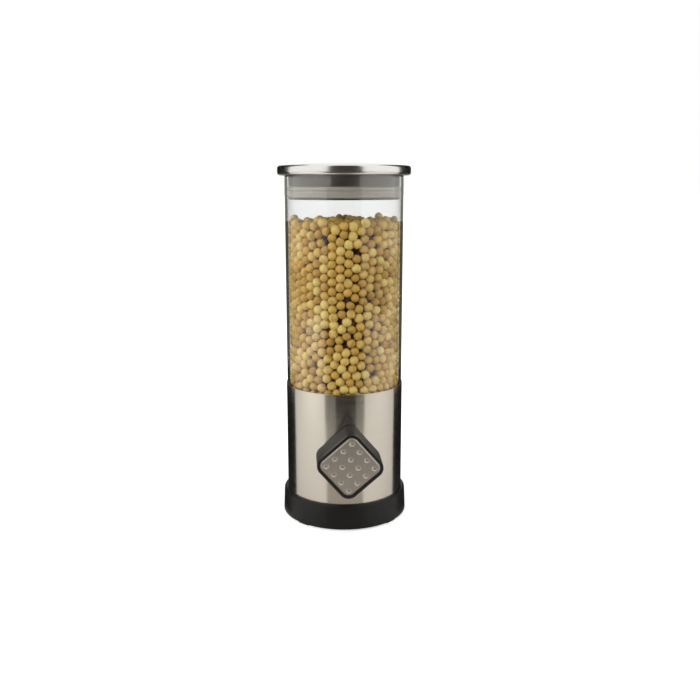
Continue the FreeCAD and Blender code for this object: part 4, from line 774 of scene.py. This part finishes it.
# Pearly grey silicone: smoother and lighter than the gasket, with a silvery shine at the sides
seal_silicone, tree, shader = new_material("pearl_grey_silicone", IOR=1.41, Metallic=0.4)
bloom = object_noise(tree, (250, 250, 250), detail=3.0)
mottled(tree, shader, bloom, "#bfb9af", "#c8c2b8", 0.5, 0.58)
seal_mesh = turned("seal_ring", [
    (SEAL_BACK_R, SEAL_UNDER), (SEAL_ROOT_R, SEAL_UNDER, 0.3), (SEAL_RIB_R, 265.9, 0.3),
    (SEAL_RIB_R, 267.95, 0.4), (SEAL_ROOT_R, 268.7, 0.4), (SEAL_ROOT_R, 270.55, 0.4),
    (SEAL_RIB_R, 271.25, 0.4), (SEAL_RIB_R, 273.3, 0.3), (SEAL_ROOT_R, SEAL_TOP, 0.3),
    (SEAL_BACK_R, SEAL_TOP)])
new_piece("seal_ring", seal_mesh, seal_silicone, "lid", "seal_silicone", "lid_seal")

# Lid cover
# Stainless sheet pressed into a low crown, its edge rolled round and curled under the plug's flange. It is
# polished, so its rim shows the dark and light of the room as stripes with soft ends.
LID_R = 53.7
LID_INNER_R = 52.9
LID_CURL_R = 50.3
LID_UNDER = 282.7
LID_EDGE = 290.4
LID_TOP = 292.4
LID_SHEET = 0.8
LID_ROUND = 2.3
CROWN_R = 48.5
CROWN_FLAT_R = 4.0
CROWN_STEPS = 24

# Polished stainless: bright and smooth, a little soft in its reflections, with a faint finish round the crown
lid_steel, tree, shader = new_material("polished_stainless", Metallic=1.0, Anisotropic=0.2)
rings = object_noise(tree, (1800, 1800, 1800))
around = add_node(tree, "ShaderNodeTangent", direction_type="RADIAL", axis="Z")
tree.links.new(around.outputs["Tangent"], shader.inputs["Tangent"])
mottled(tree, shader, rings, "#eae7e1", "#f0ede8", 0.2, 0.25)

crown = []
for step in range(CROWN_STEPS + 1):
    radius = CROWN_R - (CROWN_R - CROWN_FLAT_R) * step / CROWN_STEPS
    slope = (radius - CROWN_FLAT_R) / (CROWN_R - CROWN_FLAT_R)
    crown.append((radius, LID_EDGE + (LID_TOP - LID_EDGE) * (1 - slope ** 2)))
cover_mesh = turned("lid_cover_sheet", [
    (LID_CURL_R, LID_UNDER), (LID_R, LID_UNDER, LID_ROUND), (LID_R, LID_EDGE, LID_ROUND)] + crown + [
    (0.0, LID_TOP), (0.0, LID_TOP - LID_SHEET), (CROWN_R, LID_EDGE - LID_SHEET),
    (LID_INNER_R, LID_EDGE - LID_SHEET, LID_ROUND - LID_SHEET),
    (LID_INNER_R, LID_UNDER + LID_SHEET, LID_ROUND - LID_SHEET),
    (LID_CURL_R, LID_UNDER + LID_SHEET)], segments=256)
new_piece("lid_cover_sheet", cover_mesh, lid_steel, "lid", "lid_steel", "lid_cover")

# Studio
# A pale floor under a white room, soft lamps at both sides and above, and dark cards round the jar that give
# the metal and the tube's edges their dark stripes. The camera stands where the photograph was taken.
CAMERA_AWAY = 0.659
CAMERA_UP = 0.2757
CAMERA_TURN = math.radians(3.4)
CAMERA_TILT = math.radians(11.7)
CAMERA_PAN = math.radians(0.415)
CARD_STEPS = 24
FLOOR_HALF = 20.0
FLOOR_DROP = 0.0002
FLOOR_THROUGH_TUBE = 0.72


def lamp(name, place, aim, width, height, watts):
    """Soft rectangular lamp that points at a spot and isn't seen in reflections or through the tube."""
    light = bpy.data.lights.new(name, "AREA")
    light.shape = "RECTANGLE"
    light.size = width
    light.size_y = height
    light.energy = watts
    made = bpy.data.objects.new(name, light)
    bpy.context.scene.collection.objects.link(made)
    made.location = place
    made.rotation_euler = (Vector(aim) - Vector(place)).to_track_quat("-Z", "Y").to_euler()
    made.visible_glossy = False
    made.visible_transmission = False


lamp("lamp_left", place=(-0.92, -0.39, 0.5), aim=(0, 0, 0.15), width=0.6, height=0.8, watts=6.4)
lamp("lamp_right", place=(0.92, -0.39, 0.5), aim=(0, 0, 0.15), width=0.6, height=0.8, watts=4.1)
lamp("lamp_above", place=(0.0, -0.1, 1.1), aim=(0, 0, 0.1), width=0.8, height=0.8, watts=5.2)

world = bpy.data.worlds.new("white_room")
bpy.context.scene.world = world
world.use_nodes = True
tree = world.node_tree
tree.nodes.clear()
path = add_node(tree, "ShaderNodeLightPath")
seen = add_node(tree, "ShaderNodeMath", {
    0: path.outputs["Is Camera Ray"], 1: path.outputs["Is Glossy Ray"]}, operation="MAXIMUM")
shown = add_node(tree, "ShaderNodeMath", {
    0: seen.outputs[0], 1: path.outputs["Is Transmission Ray"]}, operation="MAXIMUM")
fill = add_node(tree, "ShaderNodeBackground", {"Color": linear("#ffffff"), "Strength": 0.2})
white = add_node(tree, "ShaderNodeBackground", {"Color": linear("#ffffff"), "Strength": 1.0})
either = add_node(tree, "ShaderNodeMixShader", {
    "Fac": shown.outputs[0], 1: fill.outputs[0], 2: white.outputs[0]})
add_node(tree, "ShaderNodeOutputWorld", {"Surface": either.outputs[0]})

# White board that stays white to the camera and in reflections but still takes the jar's shadow
board, tree, shader = new_material("white_board", Base_Color=linear("#f4f3f1"), Roughness=0.7)
path = add_node(tree, "ShaderNodeLightPath")
place = add_node(tree, "ShaderNodeTexCoord")
away = add_node(tree, "ShaderNodeVectorMath", {0: place.outputs["Object"]}, operation="LENGTH")
pale = add_node(tree, "ShaderNodeMapRange", {
    "Value": away.outputs["Value"], "From Min": 0.08, "From Max": 0.4, "To Min": 0.57, "To Max": 1.0})
seen = add_node(tree, "ShaderNodeMath", {
    0: path.outputs["Is Camera Ray"], 1: pale.outputs["Result"]}, operation="MULTIPLY")
# The lamps don't reach the far floor, so it is white in reflections too, and the floor is nearly as white
# straight through the tube as beside it
far = add_node(tree, "ShaderNodeMapRange", {
    "Value": away.outputs["Value"], "From Min": 2.0, "From Max": 3.0, "To Min": 0.0, "To Max": 0.8})
turned_back = add_node(tree, "ShaderNodeMath", {
    0: path.outputs["Is Glossy Ray"], 1: path.outputs["Is Transmission Ray"]},
    operation="SUBTRACT", use_clamp=True)
mirrored = add_node(tree, "ShaderNodeMath", {
    0: turned_back.outputs[0], 1: far.outputs["Result"], 2: seen.outputs[0]}, operation="MULTIPLY_ADD")
bounces = add_node(tree, "ShaderNodeMath", {
    0: path.outputs["Ray Depth"], 1: path.outputs["Transmission Depth"]}, operation="SUBTRACT")
straight = add_node(tree, "ShaderNodeMath", {
    0: path.outputs["Is Transmission Ray"], 1: bounces.outputs[0]}, operation="SUBTRACT", use_clamp=True)
through = add_node(tree, "ShaderNodeMath", {
    0: pale.outputs["Result"], 1: FLOOR_THROUGH_TUBE}, operation="MULTIPLY")
glow = add_node(tree, "ShaderNodeMath", {
    0: straight.outputs[0], 1: through.outputs[0], 2: mirrored.outputs[0]}, operation="MULTIPLY_ADD")
tree.links.new(glow.outputs[0], shader.inputs["Emission Strength"])
shader.inputs["Emission Color"].default_value = linear("#ffffff")
floor_mesh = bpy.data.meshes.new("floor")
work = bmesh.new()
bmesh.ops.create_grid(work, x_segments=1, y_segments=1, size=FLOOR_HALF)
work.to_mesh(floor_mesh)
work.free()
floor = bpy.data.objects.new("floor", floor_mesh)
bpy.context.scene.collection.objects.link(floor)
floor.location.z = -FLOOR_DROP
floor_mesh.materials.append(board)


def seen_in_wall(turn, radius, wall_r):
    """Angle in radians on a circle round the jar that a round wall shows at some turn from the camera.

    turn is in degrees, and the radii of circle and wall are in metres.
    """
    normal = Vector((math.sin(math.radians(turn)), -math.cos(math.radians(turn))))
    spot = normal * wall_r
    to_camera = (Vector((0, -CAMERA_AWAY)) - spot).normalized()
    away = 2 * to_camera.dot(normal) * normal - to_camera
    reach = math.sqrt(spot.dot(away) ** 2 - wall_r ** 2 + radius ** 2) - spot.dot(away)
    end = spot + reach * away
    return math.atan2(end.x, -end.y)


def card(name, outline, ends, colour, wall_r=SLEEVE_R, reflected=True, passed=False):
    """Dark card on an arc round the jar, seen in reflections, and through the clear wall too if passed.

    outline lists radius and height in metres. ends are the left and right edge: the turns of the wall that
    show them, or the turns round the jar itself for a card that isn't reflected, in degrees, right positive.
    One that isn't reflected shows only in light that has turned back once inside the clear wall.
    """
    mesh = bpy.data.meshes.new(name)
    verts = []
    for radius, height in outline:
        edges = [seen_in_wall(end, radius, wall_r * MM) if reflected else math.radians(end) for end in ends]
        for step in range(CARD_STEPS + 1):
            angle = edges[0] + (edges[1] - edges[0]) * step / CARD_STEPS - CAMERA_TURN
            verts.append((radius * math.sin(angle), -radius * math.cos(angle), height))
    faces = []
    for row in range(len(outline) - 1):
        for step in range(CARD_STEPS):
            low = row * (CARD_STEPS + 1) + step
            high = low + CARD_STEPS + 1
            faces.append((low, low + 1, high + 1, high))
    mesh.from_pydata(verts, [], faces)
    felt, tree, shader = new_material(name + "_felt", Base_Color=linear("#000000"), Roughness=1.0)
    shader.inputs["Emission Color"].default_value = linear(colour)
    shader.inputs["Emission Strength"].default_value = 1.0
    path = add_node(tree, "ShaderNodeLightPath")
    turned_back = add_node(tree, "ShaderNodeMath", {
        0: path.outputs["Glossy Depth"], 1: 1.0}, operation="MINIMUM")
    # Light inside the wall has passed two faces, and light that has crossed the jar has passed four
    most_faces = 9.0 if reflected else 2.5
    in_wall = add_node(tree, "ShaderNodeMath", {
        0: path.outputs["Transmission Depth"], 1: most_faces}, operation="LESS_THAN")
    shows = add_node(tree, "ShaderNodeMath", {
        0: turned_back.outputs[0], 1: in_wall.outputs[0]}, operation="MULTIPLY")
    tree.links.new(shows.outputs[0], shader.inputs["Alpha"])
    mesh.materials.append(felt)
    made = bpy.data.objects.new(name, mesh)
    bpy.context.scene.collection.objects.link(made)
    made.visible_camera = False
    made.visible_diffuse = False
    made.visible_shadow = False
    made.visible_glossy = reflected
    made.visible_transmission = passed


card("card_front_floor", [(0.056, 0.0004), (0.34, 0.0004)], (-17, 18), "#aba69e", passed=True)
card("card_front_wide", [(0.35, 0.0), (0.35, 0.13)], (-18.4, 19), "#807e7a", passed=True)
card("card_front_dark", [(0.34, 0.0), (0.34, 0.13)], (-8.2, 10.8), "#2b2926", passed=True)
card("card_front_tube", [(0.12, 0.108), (0.12, 0.273)], (-15.8, 16.3), "#4d4a45", TUBE_R, passed=True)
card("card_front_lid", [(0.12, 0.273), (0.12, 0.42)], (-12.5, 15.0), "#34322f", LID_R, passed=True)
for side, name in ((-1, "left"), (1, "right")):
    card(f"card_back_{name}", [(0.056, 0.0004), (0.16, 0.0004), (0.16, 0.095)],
         (55 * side, 82 * side), "#121312")
    card(f"card_lid_{name}", [(0.0539, 0.2822), (0.12, 0.2822), (0.12, 0.45)],
         (52 * side, 82 * side), "#0c0d0d", LID_R)
    card(f"card_rim_{name}", [(0.16, 0.24), (0.16, 0.2822)], (70 * side, 86 * side), "#a9a59d", TUBE_R)
    card(f"card_side_{name}", [(0.1602, 0.094), (0.1602, 0.241)], (61 * side, 86 * side), "#67635c", TUBE_R)
    card(f"card_edge_{name}", [(0.162, 0.0), (0.162, 0.2605)], (104 * side, 180 * side), "#35322c",
         reflected=False, passed=True)
    card(f"card_band_{name}", [(0.162, 0.2605), (0.162, 0.33)], (104 * side, 180 * side), "#4a4741",
         reflected=False, passed=True)

camera_data = bpy.data.cameras.new("camera")
camera_data.lens = 41.14
camera_data.sensor_width = 36.0
camera_data.clip_start = 0.01
camera = bpy.data.objects.new("camera", camera_data)
bpy.context.scene.collection.objects.link(camera)
camera.location = (
    -CAMERA_AWAY * math.sin(CAMERA_TURN), -CAMERA_AWAY * math.cos(CAMERA_TURN), CAMERA_UP)
camera.rotation_euler = (math.radians(90) - CAMERA_TILT, 0, -CAMERA_TURN - CAMERA_PAN)
bpy.context.scene.camera = camera
bpy.context.scene.view_settings.view_transform = "Standard"
